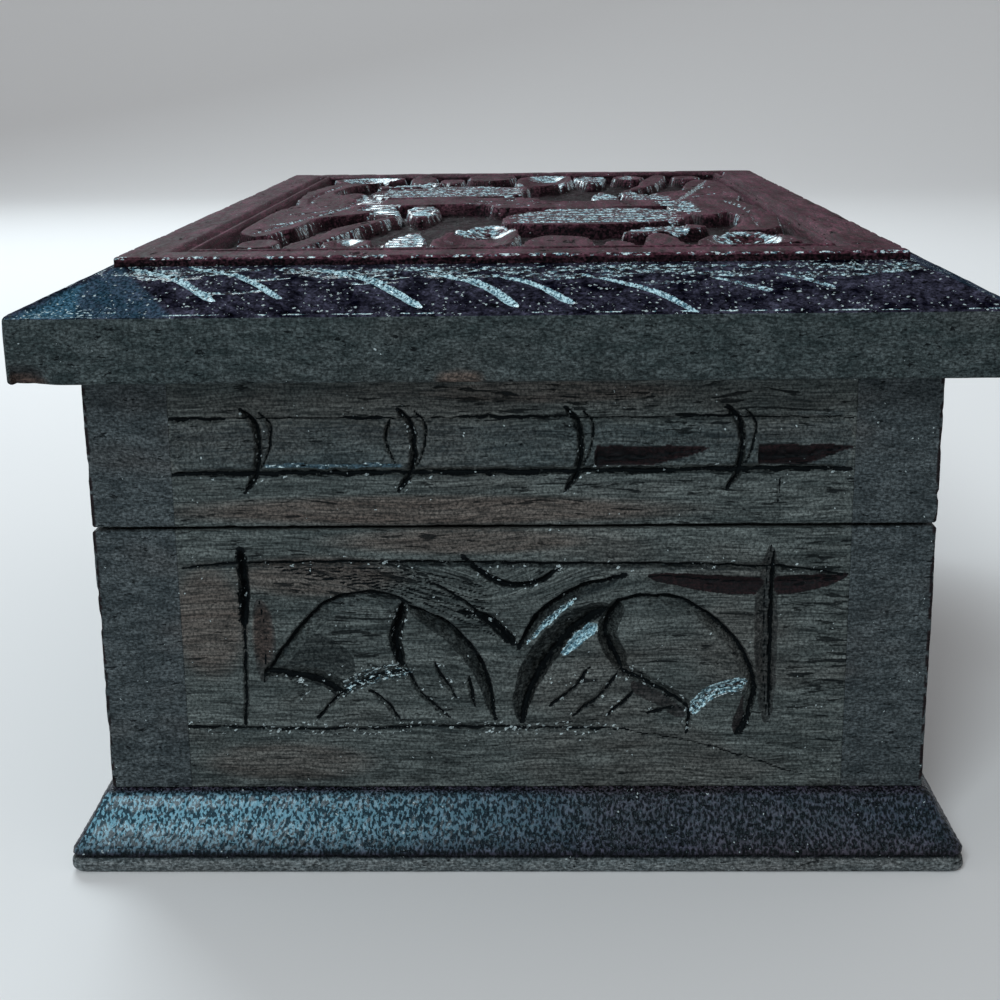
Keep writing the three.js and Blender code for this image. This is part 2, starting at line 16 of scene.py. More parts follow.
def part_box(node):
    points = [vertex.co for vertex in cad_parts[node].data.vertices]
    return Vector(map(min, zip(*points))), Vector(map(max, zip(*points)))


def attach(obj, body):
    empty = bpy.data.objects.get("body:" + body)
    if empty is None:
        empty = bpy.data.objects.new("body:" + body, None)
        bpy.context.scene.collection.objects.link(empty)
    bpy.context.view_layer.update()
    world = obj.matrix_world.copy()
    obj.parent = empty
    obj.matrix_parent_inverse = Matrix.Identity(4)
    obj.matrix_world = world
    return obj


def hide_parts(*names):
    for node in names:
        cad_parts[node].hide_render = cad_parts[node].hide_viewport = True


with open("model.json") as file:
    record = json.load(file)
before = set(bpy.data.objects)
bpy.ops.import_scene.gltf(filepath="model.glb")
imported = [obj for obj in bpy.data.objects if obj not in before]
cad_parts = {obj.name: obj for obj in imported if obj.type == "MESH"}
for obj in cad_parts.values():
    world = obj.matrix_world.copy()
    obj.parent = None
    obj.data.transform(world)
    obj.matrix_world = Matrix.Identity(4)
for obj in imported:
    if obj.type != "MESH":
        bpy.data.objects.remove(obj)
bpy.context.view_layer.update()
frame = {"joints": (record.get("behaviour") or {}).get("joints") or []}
MM = 0.001


def corners(node):
    """Lowest and highest corner of a node, in millimetres."""
    low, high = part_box(node)
    return np.array(low) / MM, np.array(high) / MM


LID_LOW, LID_HIGH = corners("lid_board")
BASE_HIGH = corners("base_board")[1]
END_HIGH = corners("tray_near_end")[1]
RIM_LOW = corners("rim_near_end")[0]
SIDE_LOW, SIDE_HIGH = corners("tray_right_side")
HALF_WIDTH, HALF_LENGTH = SIDE_HIGH[:2]
SEAM = (END_HIGH[2] + RIM_LOW[2]) / 2
print("body", 2 * HALF_WIDTH, "by", 2 * HALF_LENGTH, "mm, sawn apart at", SEAM)

# %% [markdown]
# ## Seeing it as the photograph does
# A camera is three facts: where it stands, where it looks, and how long its lens is. All three were
# found by matching the corners of the box to the picture, so they are kept as plain numbers. Roll is
# part of the match: the picture leans by less than a degree.

# %% Camera
def link(name, data):
    """An object that shows this data, put into the scene."""
    made = bpy.data.objects.new(name, data)
    bpy.context.scene.collection.objects.link(made)
    return made


PICTURE_PIXELS = 1000
LENS_PIXELS = 1630.4
CAMERA_FROM_FACE = Vector((3.05, -166.79, 85.81))  # from the near face, at the middle of its foot
LOOK_DOWN, LOOK_RIGHT, LEAN = (math.radians(angle) for angle in (14.9, -1.47, -0.72))

camera = link("camera", bpy.data.cameras.new("camera"))
bpy.context.scene.camera = camera
camera.data.sensor_width = 36
camera.data.lens = camera.data.sensor_width * LENS_PIXELS / PICTURE_PIXELS
level = Vector((math.sin(LOOK_RIGHT), math.cos(LOOK_RIGHT), 0))
forward = level * math.cos(LOOK_DOWN) - Vector((0, 0, math.sin(LOOK_DOWN)))
side = level.cross(Vector((0, 0, 1)))
above = side.cross(forward)
right = side * math.cos(LEAN) + above * math.sin(LEAN)
up = above * math.cos(LEAN) - side * math.sin(LEAN)
place = (CAMERA_FROM_FACE + Vector((0, -HALF_LENGTH, 0))) * MM
camera.matrix_world = Matrix.Translation(place) @ Matrix((right, up, -forward)).transposed().to_4x4()
camera.data.clip_start = 0.01

# %% [markdown]
# ## A pale room and soft light
# Dark polished wood is mostly seen by what it reflects, so the room matters as much as the lamps. A
# pale floor that curves up into a backdrop gives it something quiet to reflect. One broad lamp stands
# high behind the left shoulder of the box, and picks out the bevel and the cuts. A second one stands
# in front, also to the left, and gives the slope of the base its sheen, which the base's colour adds to
# with a painted sheen.


# %% Shaders
def feed(node, inputs):
    """Gives a node's inputs their values, or links them to the outputs of other nodes."""
    for name, value in inputs.items():
        if isinstance(value, bpy.types.NodeSocket):
            node.id_data.links.new(value, node.inputs[name])
        else:
            node.inputs[name].default_value = value


def new_material(name, inputs):
    """A material whose shader has these values."""
    material = bpy.data.materials.new(name)
    material.use_nodes = True
    feed(material.node_tree.nodes["Principled BSDF"], inputs)
    return material


# %% Floor and backdrop
PALE = (0.8, 0.8, 0.81, 1)
FLOOR_HALF = 1.4
COVE_START = 0.9
COVE_RADIUS = 0.5
turn = np.linspace(0, math.pi / 2, 17)
sweep_y = [-FLOOR_HALF, *(COVE_START + COVE_RADIUS * np.sin(turn)), COVE_START + COVE_RADIUS]
sweep_z = [0, *(COVE_RADIUS * (1 - np.cos(turn))), FLOOR_HALF]
sweep = [(x, y, z) for y, z in zip(sweep_y, sweep_z) for x in (-2 * FLOOR_HALF, 2 * FLOOR_HALF)]
floor_mesh = bpy.data.meshes.new("floor")
floor_mesh.from_pydata(sweep, [], [(i, i + 1, i + 3, i + 2) for i in range(0, len(sweep) - 2, 2)])
floor_mesh.shade_smooth()
floor_mesh.materials.append(new_material("pale floor", {"Base Color": PALE, "Roughness": 0.9}))
link("floor", floor_mesh)

# %% World
WHITE = (1, 1, 1, 1)
WORLD_LIGHT = 0.42
world = bpy.data.worlds.new("room")
bpy.context.scene.world = world
world.use_nodes = True
feed(world.node_tree.nodes["Background"], {"Color": WHITE, "Strength": WORLD_LIGHT})
bpy.context.scene.view_settings.view_transform = "Standard"


# %% Lamps
WINDOW_LIGHT = (0.86, 0.96, 1.0)
BOX_MIDDLE = Vector((0, 0, 0.04))


def lamp(name, at, size, watts):
    """A square soft lamp that points at the box, a little cool, as a window is."""
    data = bpy.data.lights.new(name, "AREA")
    data.color = WINDOW_LIGHT
    data.size = size
    data.energy = watts
    made = link(name, data)
    made.location = at
    made.rotation_euler = (BOX_MIDDLE - made.location).to_track_quat("-Z", "Y").to_euler()


lamp("window behind", (-0.3, 0.62, 0.62), 0.42, 4.6)
lamp("soft front", (-0.3, -0.84, 0.64), 0.26, 4.6)

# %% [markdown]
# ## Noise that can be carved with
# Shader noise only colours a surface. To move points by noise, a few lines of array code do the same
# job: random values on a coarse lattice, joined smoothly. The seed is fixed, so the wear always
# falls in the same places.


# %% Soft noise
def soft_noise(x, y, cell, seed):
    """Smooth random values from 0 to 1 over a plane, about one bump to each cell of that size."""
    lattice = np.random.default_rng(seed).random((61, 61))
    x, y = np.asarray(x) / cell, np.asarray(y) / cell
    column, row = np.floor(x).astype(int), np.floor(y).astype(int)
    s, t = x - column, y - row
    s, t = s * s * (3 - 2 * s), t * t * (3 - 2 * t)
    pick = lambda across, along: lattice[(column + across) % 61, (row + along) % 61]
    near = pick(0, 0) * (1 - s) + pick(1, 0) * s
    far = pick(0, 1) * (1 - s) + pick(1, 1) * s
    return near * (1 - t) + far * t


def ramp(values, low, high):
    """0 below low, 1 above high, and smooth between."""
    share = np.clip((values - low) / (high - low), 0, 1)
    return share * share * (3 - 2 * share)


# %% [markdown]
# ## The gouge
# A carver's V gouge makes one kind of mark: it enters, sinks, and comes out again, along a line that
# may bend. So one function is enough for all the carving. It measures how far each point of a surface
# lies from a smooth line, and sinks it the more the closer it is. The two walls of a cut can have
# different widths, which is how a leaf gets one steep edge and one that slopes.


# %% Strokes
# Of these marks, one darkens the cuts as painted shade, and one paints the window's cool sheen into the
# colour. pale stands for scraped wood and painted highlights together. One stands for dust and painted glints
# beside the cuts, and core marks a black line of painted shade at a cut's bottom.
LEFT_BY_CUTS = ("bare", "dust", "polish", "pale", "sheen", "deep")
MARKS = (*LEFT_BY_CUTS, "edge", "core", "bend", "brown", "cracks")
REACH = 0.5  # how far outside a cut its marks are still known


def stroke(points, left, right, depth, lead_in=0.35, lead_out=0.35, line=0.15, **marks):
    """One gouge cut through these points, in millimetres. left and right are its walls' widths, and
    line is half the width of the black line of painted shade at its bottom."""
    leads = (lead_in, lead_out)
    return dict(points=points, left=left, right=right, depth=depth, leads=leads, line=line, marks=marks)


def smooth_line(points, steps=9):
    """A smooth line through the points, as many short steps."""
    points = np.array(points, float)
    if len(points) == 2:
        share = np.linspace(0, 1, steps)[:, None]
        return points[0] * (1 - share) + points[1] * share
    before = np.vstack([2 * points[0] - points[1], points[:-1]])
    after = np.vstack([points[1:], 2 * points[-1] - points[-2]])
    slope = (after - before) / 2
    t = np.linspace(0, 1, steps, endpoint=False)[:, None]
    rise, ease = 3 * t**2 - 2 * t**3, t**3 - 2 * t**2 + t
    spans = zip(points[:-1], points[1:], slope[:-1], slope[1:])
    pieces = [(1 - rise) * a + rise * b + ease * m + (t**3 - t**2) * n for a, b, m, n in spans]
    return np.vstack([*pieces, points[-1:]])


def nearest_on_line(u, v, line):
    """For each point: its distance to the line, its side of it, and how far along it that is."""
    step = np.diff(line, axis=0)
    length = np.hypot(*step.T)
    best = np.full(len(u), np.inf)
    across, along = np.zeros(len(u)), np.zeros(len(u))
    run = np.concatenate([[0], np.cumsum(length)])
    for start, way, long, done in zip(line[:-1], step, length, run):
        du, dv = u - start[0], v - start[1]
        t = np.clip((du * way[0] + dv * way[1]) / max(long, 1e-9) ** 2, 0, 1)
        away = np.hypot(du - t * way[0], dv - t * way[1])
        closer = away < best
        best[closer] = away[closer]
        across[closer] = (way[0] * dv - way[1] * du)[closer]
        along[closer] = (done + t * long)[closer] / run[-1]
    return best, across, along


def near_line(u, v, line, reach):
    """The numbers of the points within reach of a line's box."""
    low, high = line.min(0) - reach, line.max(0) + reach
    return np.flatnonzero((u > low[0]) & (u < high[0]) & (v > low[1]) & (v < high[1]))


def carve(u, v, strokes):
    """How far down the strokes cut each point of a face, and what marks they leave there. The marks
    edge and core pass 0.5 at the edge of a cut and at its black line of painted shade, so a material
    can draw both sharper than the mesh is. A cut also paints shade, darker towards its middle."""
    unsteady = soft_noise(u, v, 1.1, 61)
    u, v = u + 0.2 * (unsteady - 0.5), v + 0.2 * (soft_noise(u, v, 1.1, 62) - 0.5)
    level = np.full(len(u), -REACH)
    marks = {name: np.zeros(len(u)) for name in MARKS}
    for cut in strokes:
        line = smooth_line(cut["points"])
        near = near_line(u, v, line, max(cut["left"], cut["right"]) + REACH)
        if not len(near):
            continue
        away, across, along = nearest_on_line(u[near], v[near], line)
        entry = np.minimum(1, along / max(cut["leads"][0], 1e-3))
        leave = np.minimum(1, (1 - along) / max(cut["leads"][1], 1e-3))
        wall = np.where(across > 0, cut["left"], cut["right"])
        inside = wall * np.sqrt(entry * leave * (2 - entry) * (2 - leave)) - away
        rank = np.where(inside > 0, cut["depth"] * inside / wall, inside)
        first = rank > level[near]
        chosen, inside, away, wall = near[first], inside[first], away[first], wall[first]
        level[chosen] = rank[first]
        for name in LEFT_BY_CUTS:
            marks[name][chosen] = cut["marks"].get(name, 0)
        # Painted shade: the colour darkens towards the middle of a cut, the more the cut sinks.
        shade = np.clip(level[chosen] / 1.1, 0, 1) * ramp(inside / wall, 0.35, 0.85)
        marks["deep"][chosen] = np.maximum(marks["deep"][chosen], shade)
        marks["edge"][chosen] = np.clip(inside + 0.5, 0, 3)
        marks["core"][chosen] = np.clip(1 - 0.5 * away / cut["line"], 0, 1)
    return np.maximum(level, 0) * (0.8 + 0.4 * soft_noise(u, v, 0.5, 63)), marks


# %% [markdown]
# ## Reading the carving off the picture
# The near end is the part that the picture shows best, so its strokes are written down one by one, in
# millimetres on the face: how far from the middle, and how far above the table. It shows two pods with
# a notch in their underside, two leaves that rise from the middle, a small crest, and a frame of four
# lines that cross at their ends.

# %% The panel on the tray
# In these strokes, the shade marks paint shade into the cuts. The pale marks paint highlights on lit walls as
# well as scraped wood, and the dust marks paint glints beside the cuts as well as dust.
FRAME_LINES = [
    stroke([(-35.4, 34.1), (-29.6, 34.5), (-16.3, 34.6), (0.8, 34.4), (27, 33.9), (35.4, 33)],
           0.25, 0.5, 0.6, 0.1, 0.12, 0.13, deep=0.7, dust=0.3),
    stroke([(14.4, 33), (19.5, 32.5), (26, 32.1), (31, 32.3), (35.8, 33)],
           0.7, 1.4, 0.5, 0.6, 0.4, 0.06, bare=1),
    stroke([(-36.4, 15.7), (-20, 15.3), (-9, 15.6), (0.7, 15.4), (11.5, 15.3)],
           0.4, 0.35, 0.5, 0.06, 0.1, 0.12, dust=1, deep=0.4),
    stroke([(11, 15.4), (19.8, 13.7), (31.6, 9.9)], 0.12, 0.3, 0.25, line=0.07),
]
UPRIGHTS = [
    stroke([(-29.2, 36), (-29, 32), (-29.2, 27)], 0.7, 0.6, 1.5, 0.3, 0.5, 0.45, deep=1, dust=0.4),
    stroke([(-29.1, 30), (-29.3, 22), (-29.6, 15.4)], 0.4, 0.3, 0.5, 0.1, 0.2, 0.13, deep=0.4),
    stroke([(-27.4, 30.5), (-26.9, 26), (-27.3, 21)], 1.1, 1.2, 0.3, 0.5, 0.5, 0.04, bare=0.5),
    stroke([(27.6, 36.3), (27.1, 31), (27.2, 23), (27.6, 15.9)],
           1.4, 1.1, 0.7, 0.5, 0.5, 0.05, bare=0.4, deep=0.3),
    stroke([(27.9, 35.6), (27.7, 28), (27.9, 16.6)], 0.3, 0.35, 1.2, 0.2, 0.3, 0.2, deep=1),
]
LEFT_POD = [
    stroke([(-27, 21.6), (-25.1, 24.6), (-21.3, 29.1), (-18.4, 30.7), (-14.6, 31.1), (-11, 29.9)],
           0.35, 1.6, 1, 0.08, 0.15, 0.18, deep=0.35),
    stroke([(-24.8, 22.9), (-21.6, 23.4), (-17.4, 22)], 3.1, 1.1, 0.3, 0.35, 0.7, 0.001, deep=0.8),
    stroke([(-11.7, 30.2), (-12.9, 26), (-12, 22.3)], 0.8, 0.6, 1.5, 0.3, 0.4, 0.32, deep=1, dust=0.6),
    stroke([(-27.4, 21.9), (-24.5, 21.8), (-21.4, 21.1), (-18.5, 19.4)],
           1.5, 0.5, 1, 0.1, 0.1, 0.25, deep=0.7, dust=0.4),
    stroke([(-18.8, 19.6), (-15.4, 21.3), (-11.1, 22.1)],
           1.2, 0.5, 0.9, 0.1, 0.2, 0.16, dust=1, pale=0.16, deep=0.6),
    stroke([(-18.6, 20), (-21.6, 16.7)], 0.5, 0.4, 0.8, 0.2, 0.6, dust=0.7),
    stroke([(-24.6, 21.3), (-22.8, 20.2), (-24.2, 18.4)], 0.5, 0.4, 0.3, line=0.05, dust=1),
]
RIGHT_POD = [
    stroke([(10.8, 29.9), (14, 30.6), (18.8, 29.9), (23.8, 25.8), (26.1, 21), (25.7, 17.2), (24.8, 14.8)],
           0.35, 1.2, 1.1, 0.06, 0.2, 0.22, deep=0.3),
    stroke([(11.5, 30.3), (10, 26.4), (12, 22)], 1.3, 0.9, 1.7, 0.2, 0.3, 0.2, deep=0.75),
    stroke([(11.4, 22.4), (15.4, 20.1), (18.6, 18.1), (19.2, 16.8)],
           0.9, 0.5, 0.9, 0.1, 0.1, 0.16, deep=0.5, dust=0.8),
    stroke([(12.8, 20.9), (16.4, 19.2), (19, 17)], 0.3, 1.3, 0.4, 0.3, 0.3, 0.03, bare=0.7),
    stroke([(19.1, 17.1), (21.8, 19.5), (25.7, 20.7)],
           0.9, 0.6, 0.9, 0.1, 0.2, 0.12, dust=0.8, pale=0.4, polish=1),
    stroke([(19.3, 17.6), (18.8, 14.9)], 0.4, 0.35, 0.8, 0.2, 0.6, dust=0.7),
    stroke([(26.1, 20.2), (25.5, 17.4), (24.4, 14.7)], 0.3, 1.1, 0.6, line=0.16, bare=0.8),
]
# The two short strokes with strong pale marks paint highlights on the leaves' lit walls.
LEAVES = [
    stroke([(-11.4, 29.7), (-7.1, 27.4), (-4.3, 24.2), (-2.8, 21), (-2, 16.5)],
           0.45, 1.5, 1.7, 0.3, 0.75, 0.2, deep=0.75),
    stroke([(10.9, 29.2), (8.6, 28.2), (6, 26.1), (3.5, 22.8), (1.8, 19.6), (0.8, 16.1)],
           0.6, 2.3, 2, 0.45, 0.5, 0.3, deep=0.85),
    stroke([(9.1, 27.4), (7.6, 26.2), (5.4, 24)], 0.6, 0.75, 1.6, 0.3, 0.5, 0.02, polish=1, pale=0.85),
    stroke([(0.6, 24.8), (2.2, 27.9), (4.8, 30.2), (7.6, 31.8), (12, 32.9)],
           0.4, 1.3, 1.3, 0.35, 0.6, 0.25, deep=0.85),
    stroke([(1.5, 25.2), (3.6, 27.6), (6.9, 30.4)], 0.28, 0.3, 1.1, 0.5, 0.5, 0.02, polish=1, pale=0.6),
    stroke([(-6, 29), (-2.8, 28.2), (0.2, 25.2)], 0.6, 0.5, 1.2, 0.7, 0.12, 0.3, deep=1, dust=0.5),
    stroke([(-9.4, 32.6), (-5, 30), (-0.6, 25.4)], 0.15, 0.3, 0.6, 0.3, 0.2, 0.14, deep=0.8),
    stroke([(-5.3, 35.2), (-2.6, 32.9), (0.2, 32), (3, 32.5), (5.2, 34)],
           0.35, 0.4, 0.8, 0.3, 0.3, 0.26, deep=1, dust=0.4),
]
VEINS = [
    stroke(points, 0.25, 0.4, 0.5, line=0.13, deep=0.5, dust=0.4) for points in (
        [(-12, 23.4), (-10.1, 19.6), (-7, 16.8)], [(-8.6, 23), (-7.2, 20.6), (-6.3, 18.9)],
        [(-15.8, 20), (-14, 18.6), (-12.4, 16.4)], [(-4.9, 21.5), (-4.2, 18)],
        [(8.3, 22.4), (6.4, 19.9), (3.9, 18)], [(11.3, 21.8), (9.4, 19.2), (6.4, 16.9)],
        [(13.1, 19.8), (12, 18.4), (10.3, 17)], [(18, 18), (14.6, 17.2)])
]
GRAIN_SWEEPS = [
    stroke([(-26 + 1.3 * n, 34 - 0.3 * n), (-12, 33.7 - 0.45 * n), (-3 + 0.2 * n, 31.8 - 0.95 * n)],
           0.1, 0.25, 0.2, 0.5, 0.3, 0.06, deep=0.2)
    for n in range(7)
]
END_PANEL = FRAME_LINES + UPRIGHTS + LEFT_POD + RIGHT_POD + LEAVES + VEINS + GRAIN_SWEEPS

# %% The cane rail on the lid's rim
RAIL_TOP = 50.3
RAIL_FOOT = 44.4
RAIL_BOLD = ((0, 6.5), (18.2, 23), (29.6, 42.1), (53.2, 60.1))


def rail_lines(low, high):
    """The two long cuts that leave the cane standing between them, from one end to the other."""
    middle = (low + high) / 2
    top = [(low, RAIL_TOP + 0.1), (middle, RAIL_TOP), (high, RAIL_TOP - 0.2)]
    foot = [(low, RAIL_FOOT), (middle, RAIL_FOOT), (high, RAIL_FOOT + 0.2)]
    glint = [(low + 9.5, RAIL_FOOT + 0.9), (low + 17, RAIL_FOOT + 0.8), (low + 25, RAIL_FOOT + 0.9)]
    bolder = [[(low + start, RAIL_TOP + 0.1), (low + end, RAIL_TOP)] for start, end in RAIL_BOLD]
    return [
        # A broad shallow cut along the cane. Its marks paint a band of shade along its middle and a faint
        # painted sheen.
        stroke([(low, 47.4), (middle, 47.3), (high, 47.4)],
               2.9, 2.6, 0.4, 0.02, 0.02, 0.001, deep=0.34, sheen=0.04),
        stroke(top, 0.15, 1.1, 0.5, 0.06, 0.1, 0.07, deep=0.15),
        *[stroke(line, 0.25, 0.9, 0.6, 0.3, 0.2, 0.2, deep=0.3) for line in bolder],
        stroke(foot, 0.7, 0.3, 0.9, 0.06, 0.1, 0.2, deep=0.3, dust=0.15),
        # A thin pale line of painted highlight along the rail just above its foot line, with a painted sheen.
        stroke(glint, 0.3, 0.5, 0.3, 0.3, 0.3, 0.01, pale=0.1, sheen=0.35),
    ]


def cane_joint(u):
    """The bent cut across the rail at one joint of the cane, with its tail below the rail."""
    return stroke([(u - 1.3, 51.4), (u + 0.1, 49.6), (u + 0.4, 46.6), (u - 0.1, 44.2), (u - 1.3, 42.4)],
                  0.45, 0.7, 1.2, 0.25, 0.35, 0.2, deep=0.8, dust=0.6)


def second_curve(u):
    """A thinner cut beside a joint."""
    return stroke([(u + 0.6, 51), (u + 1.7, 49.4), (u + 1.4, 46.9), (u + 0.6, 45)],
                  0.2, 0.35, 0.8, 0.3, 0.4, 0.1, deep=0.6)


def chip(u, length):
    """A long wedge out of the rail beside a joint, where the stain never reached."""
    return stroke([(u, 45.6), (u + length * 0.5, 45.9), (u + length, 47)],
                  2.3, 0.9, 1.1, 0.02, 1, 0.02, bare=1)


END_RAIL = rail_lines(-36, 35.6) + [chip(8.8, 12.8), chip(25.9, 9.9)]
END_RAIL += [cut(u) for cut in (cane_joint, second_curve) for u in (-27, -10.6, 7, 23.9)]
END_RAIL += [
    stroke([(-12.6, 50.4), (-13.2, 47.8), (-12.2, 45.4)], 0.25, 0.35, 0.9, line=0.1, deep=0.6),
    stroke([(28.3, 43.6), (28.1, 41)], 0.3, 0.3, 0.2, line=0.06, dust=0.6),
]

# %% [markdown]
# ## Boards with worn arrises
# A sawn board is a box, but its corners are never sharp: handling rounds them. Each board is built as
# a skin over a lattice. The face that shows is cut into a fine grid, fine enough to carve, and the
# hidden back is left as one plain polygon. Points near an edge are pulled onto a small arc.

# %% Grid of a board
ARRIS = 0.3
NEAR_STEP = 0.17
FAR_STEP = 0.3


def grid_lines(low, high, step, arris=ARRIS):
    """Where a side is cut, from low to high: close together on the arris, then evenly. The first even
    cut lies as far inside the arris as the arris is wide, and keeps the flat of the face flat."""
    arc = arris * (1 - np.tan(np.linspace(math.pi / 4, 0, 4)))
    inset = 2 * arris
    middle = np.linspace(low + inset, high - inset, max(2, round((high - low - 2 * inset) / step) + 1))
    return np.concatenate([low + arc, middle, (high - arc)[::-1]])


def quads(grid, turned=False):
    """The four-sided faces between the rows of a grid of point numbers."""
    a, b, c, d = grid[:-1, :-1], grid[1:, :-1], grid[1:, 1:], grid[:-1, 1:]
    loops = (a, d, c, b) if turned else (a, b, c, d)
    return np.stack([loop.ravel() for loop in loops], 1).tolist()


def lattice_skin(u_lines, v_lines, w_lines):
    """Points and faces of a box cut along these lines. The last face of the list is its plain back."""
    shape = (len(u_lines), len(v_lines), len(w_lines))
    i, j, k = np.indices(shape)
    rim = (i == 0) | (i == shape[0] - 1) | (j == 0) | (j == shape[1] - 1)
    on_skin = rim | (k == shape[2] - 1)
    number = np.full(shape, -1)
    number[on_skin] = np.arange(on_skin.sum())
    points = np.stack([u_lines[i[on_skin]], v_lines[j[on_skin]], w_lines[k[on_skin]]], 1)
    faces = quads(number[:, :, -1])
    faces += quads(number[-1, :, :]) + quads(number[0, :, :], True)
    faces += quads(number[:, -1, :], True) + quads(number[:, 0, :])
    back = number[:, :, 0]
    faces.append([*back[0, :], *back[1:, -1], *back[-1, -2::-1], *back[-2:0:-1, 0]])
    return points, faces


def round_arrises(points, soft=((1, 1), (1, 1), (1, 1)), arris=ARRIS):
    """Pulls the points near a soft edge of their box onto an arc. soft has each axis's two sides."""
    radius = arris * np.array(soft)
    core = np.clip(points, points.min(0) + radius[:, 0], points.max(0) - radius[:, 1])
    out = points - core
    reach = np.abs(out).max(1, keepdims=True)
    return core + out * reach / np.maximum(np.linalg.norm(out, axis=1, keepdims=True), 1e-9)


def on_face(height, top):
    """Which points belong to the face at this height, with its arrises."""
    return height > top - 2 * ARRIS - 0.01


# %% From arrays to objects
def make_object(name, points, faces, material=None):
    """A mesh object at the origin, from points in millimetres."""
    mesh = bpy.data.meshes.new(name)
    mesh.from_pydata((np.asarray(points) * MM).tolist(), [], faces)
    mesh.shade_smooth()
    if material:
        mesh.materials.append(material)
    return link(name, mesh)


def get_points(thing):
    """A mesh object's points, in millimetres."""
    flat = np.zeros(len(thing.data.vertices) * 3)
    thing.data.vertices.foreach_get("co", flat)
    return flat.reshape(-1, 3) / MM


def set_points(thing, points):
    """Moves a mesh object's points to these places, in millimetres."""
    thing.data.vertices.foreach_set("co", (points * MM).astype(np.float32).ravel())
    thing.data.update()


def raise_mark(marks, name, values):
    """Makes a mark at least this strong."""
    marks[name] = np.maximum(marks[name], values)


def set_marks(thing, marks):
    """Stores what the strokes left behind, for the materials to read."""
    for name, values in marks.items():
        layer = thing.data.attributes.new(name, "FLOAT", "POINT")
        layer.data.foreach_set("value", values.astype(np.float32))


def apply_modifiers(thing):
    """Replaces the object's mesh by what its modifiers make of it."""
    bpy.context.view_layer.update()
    evaluated = thing.evaluated_get(bpy.context.evaluated_depsgraph_get())
    made = bpy.data.meshes.new_from_object(evaluated)
    thing.modifiers.clear()
    thing.data = made
    return thing


def hand_in(thing, body, slot, *nodes):
    """Lets a finished piece ride its body in place of its nodes."""
    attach(thing, body)
    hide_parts(*nodes)
    print(thing.name, len(thing.data.vertices), "points")


# %% [markdown]
# ## Ebonised wood
# The wood was stained black and polished, and much of it shows through: brown where the stain is thin,
# open pores along the grain, pale specks of dust in the rough places, and slanted pale specks beside
# the cuts that paint glints. The grain is solid. Noise is stretched along the board, so a face along it
# shows streaks and a face across it shows end grain, with no extra work. The strokes left marks on the
# mesh, and each mark has its look: painted shade down in the cuts, with a black line of painted shade
# at their bottoms, pale where the gouge scraped and where highlights are painted on lit walls,
# red-brown where a chip broke off, glossy where the cut was clean, and a painted cool sheen, the
# window's reflection painted into the colour, where a slope lies towards the window. On the rippled
# base the colour paints light and shade on the ripples. Noise breaks the edge of every mark, because a
# torn fibre never follows a smooth line. One function makes all seven woods of the box. They differ in
# stain, gloss, dust and ripples, and inside the box each turns to raw wood, which was never stained.

# %% Node helpers
def add_node(tree, kind, inputs, **settings):
    """One node with its settings and inputs, in a shader or a geometry tree."""
    made = tree.nodes.new(kind)
    for name, value in settings.items():
        setattr(made, name, value)
    feed(made, inputs)
    return made


def result(tree, kind, inputs=None, output=0, **settings):
    """An output of a new node."""
    return add_node(tree, kind, inputs or {}, **settings).outputs[output]


def tree_of(*values):
    """The tree that the first socket among these values belongs to."""
    return next(value.id_data for value in values if isinstance(value, bpy.types.NodeSocket))


def maths(operation, a, b=0.0, *more):
    """Sockets and numbers, added, multiplied or compared one after another."""
    made = result(tree_of(a, b), "ShaderNodeMath", {0: a, 1: b}, operation=operation)
    return maths(operation, made, *more) if more else made


def plus(*values):
    return maths("ADD", *values)


def times(*values):
    return maths("MULTIPLY", *values)


def vector(x=0.0, y=0.0, z=0.0):
    """A vector from numbers and sockets."""
    return result(tree_of(x, y, z), "ShaderNodeCombineXYZ", {0: x, 1: y, 2: z})


def vector_maths(operation, *values):
    return result(tree_of(*values), "ShaderNodeVectorMath", dict(enumerate(values)), operation=operation)


# %% Shader helpers
def mix_colour(share, a, b, blend="MIX"):
    """b over a, by share. Each colour is a tuple or a socket."""
    a, b = ((*colour, 1) if isinstance(colour, tuple) else colour for colour in (a, b))
    settings = {"data_type": "RGBA", "blend_type": blend}
    return result(tree_of(share, a, b), "ShaderNodeMix", {0: share, 6: a, 7: b}, 2, **settings)


def remap(value, low, high, out_low=0.0, out_high=1.0):
    """Eases a value from one range into another."""
    inputs = {0: value, 1: low, 2: high, 3: out_low, 4: out_high}
    return result(tree_of(value), "ShaderNodeMapRange", inputs, interpolation_type="SMOOTHSTEP")


def noise(at, scale, detail=3.0, rough=0.55, output="Fac"):
    inputs = {"Vector": at, "Scale": scale, "Detail": detail, "Roughness": rough}
    return result(tree_of(at), "ShaderNodeTexNoise", inputs, output)


def stretched(at, scale):
    return result(tree_of(at), "ShaderNodeMapping", {"Vector": at, "Scale": scale})


def spots(at, scale, radius, allowed):
    """Spots of several sizes in random places, about one to a cell, in this share of the cells."""
    cells = add_node(tree_of(at), "ShaderNodeTexVoronoi", {"Vector": at, "Scale": scale}).outputs
    chance = add_node(tree_of(at), "ShaderNodeSeparateColor", {0: cells["Color"]}).outputs
    size = remap(chance[1], 0.2, 1, 0.35 * radius, radius)
    return times(maths("LESS_THAN", cells["Distance"], size), maths("LESS_THAN", chance[0], allowed))


def millimetres(tree):
    """Positions on the object, in millimetres."""
    here = result(tree, "ShaderNodeTexCoord", output="Object")
    return vector_maths("MULTIPLY", here, (1 / MM, 1 / MM, 1 / MM))


def bumped(height, strength, distance):
    inputs = {"Height": height, "Strength": strength, "Distance": distance}
    return result(tree_of(height), "ShaderNodeBump", inputs)


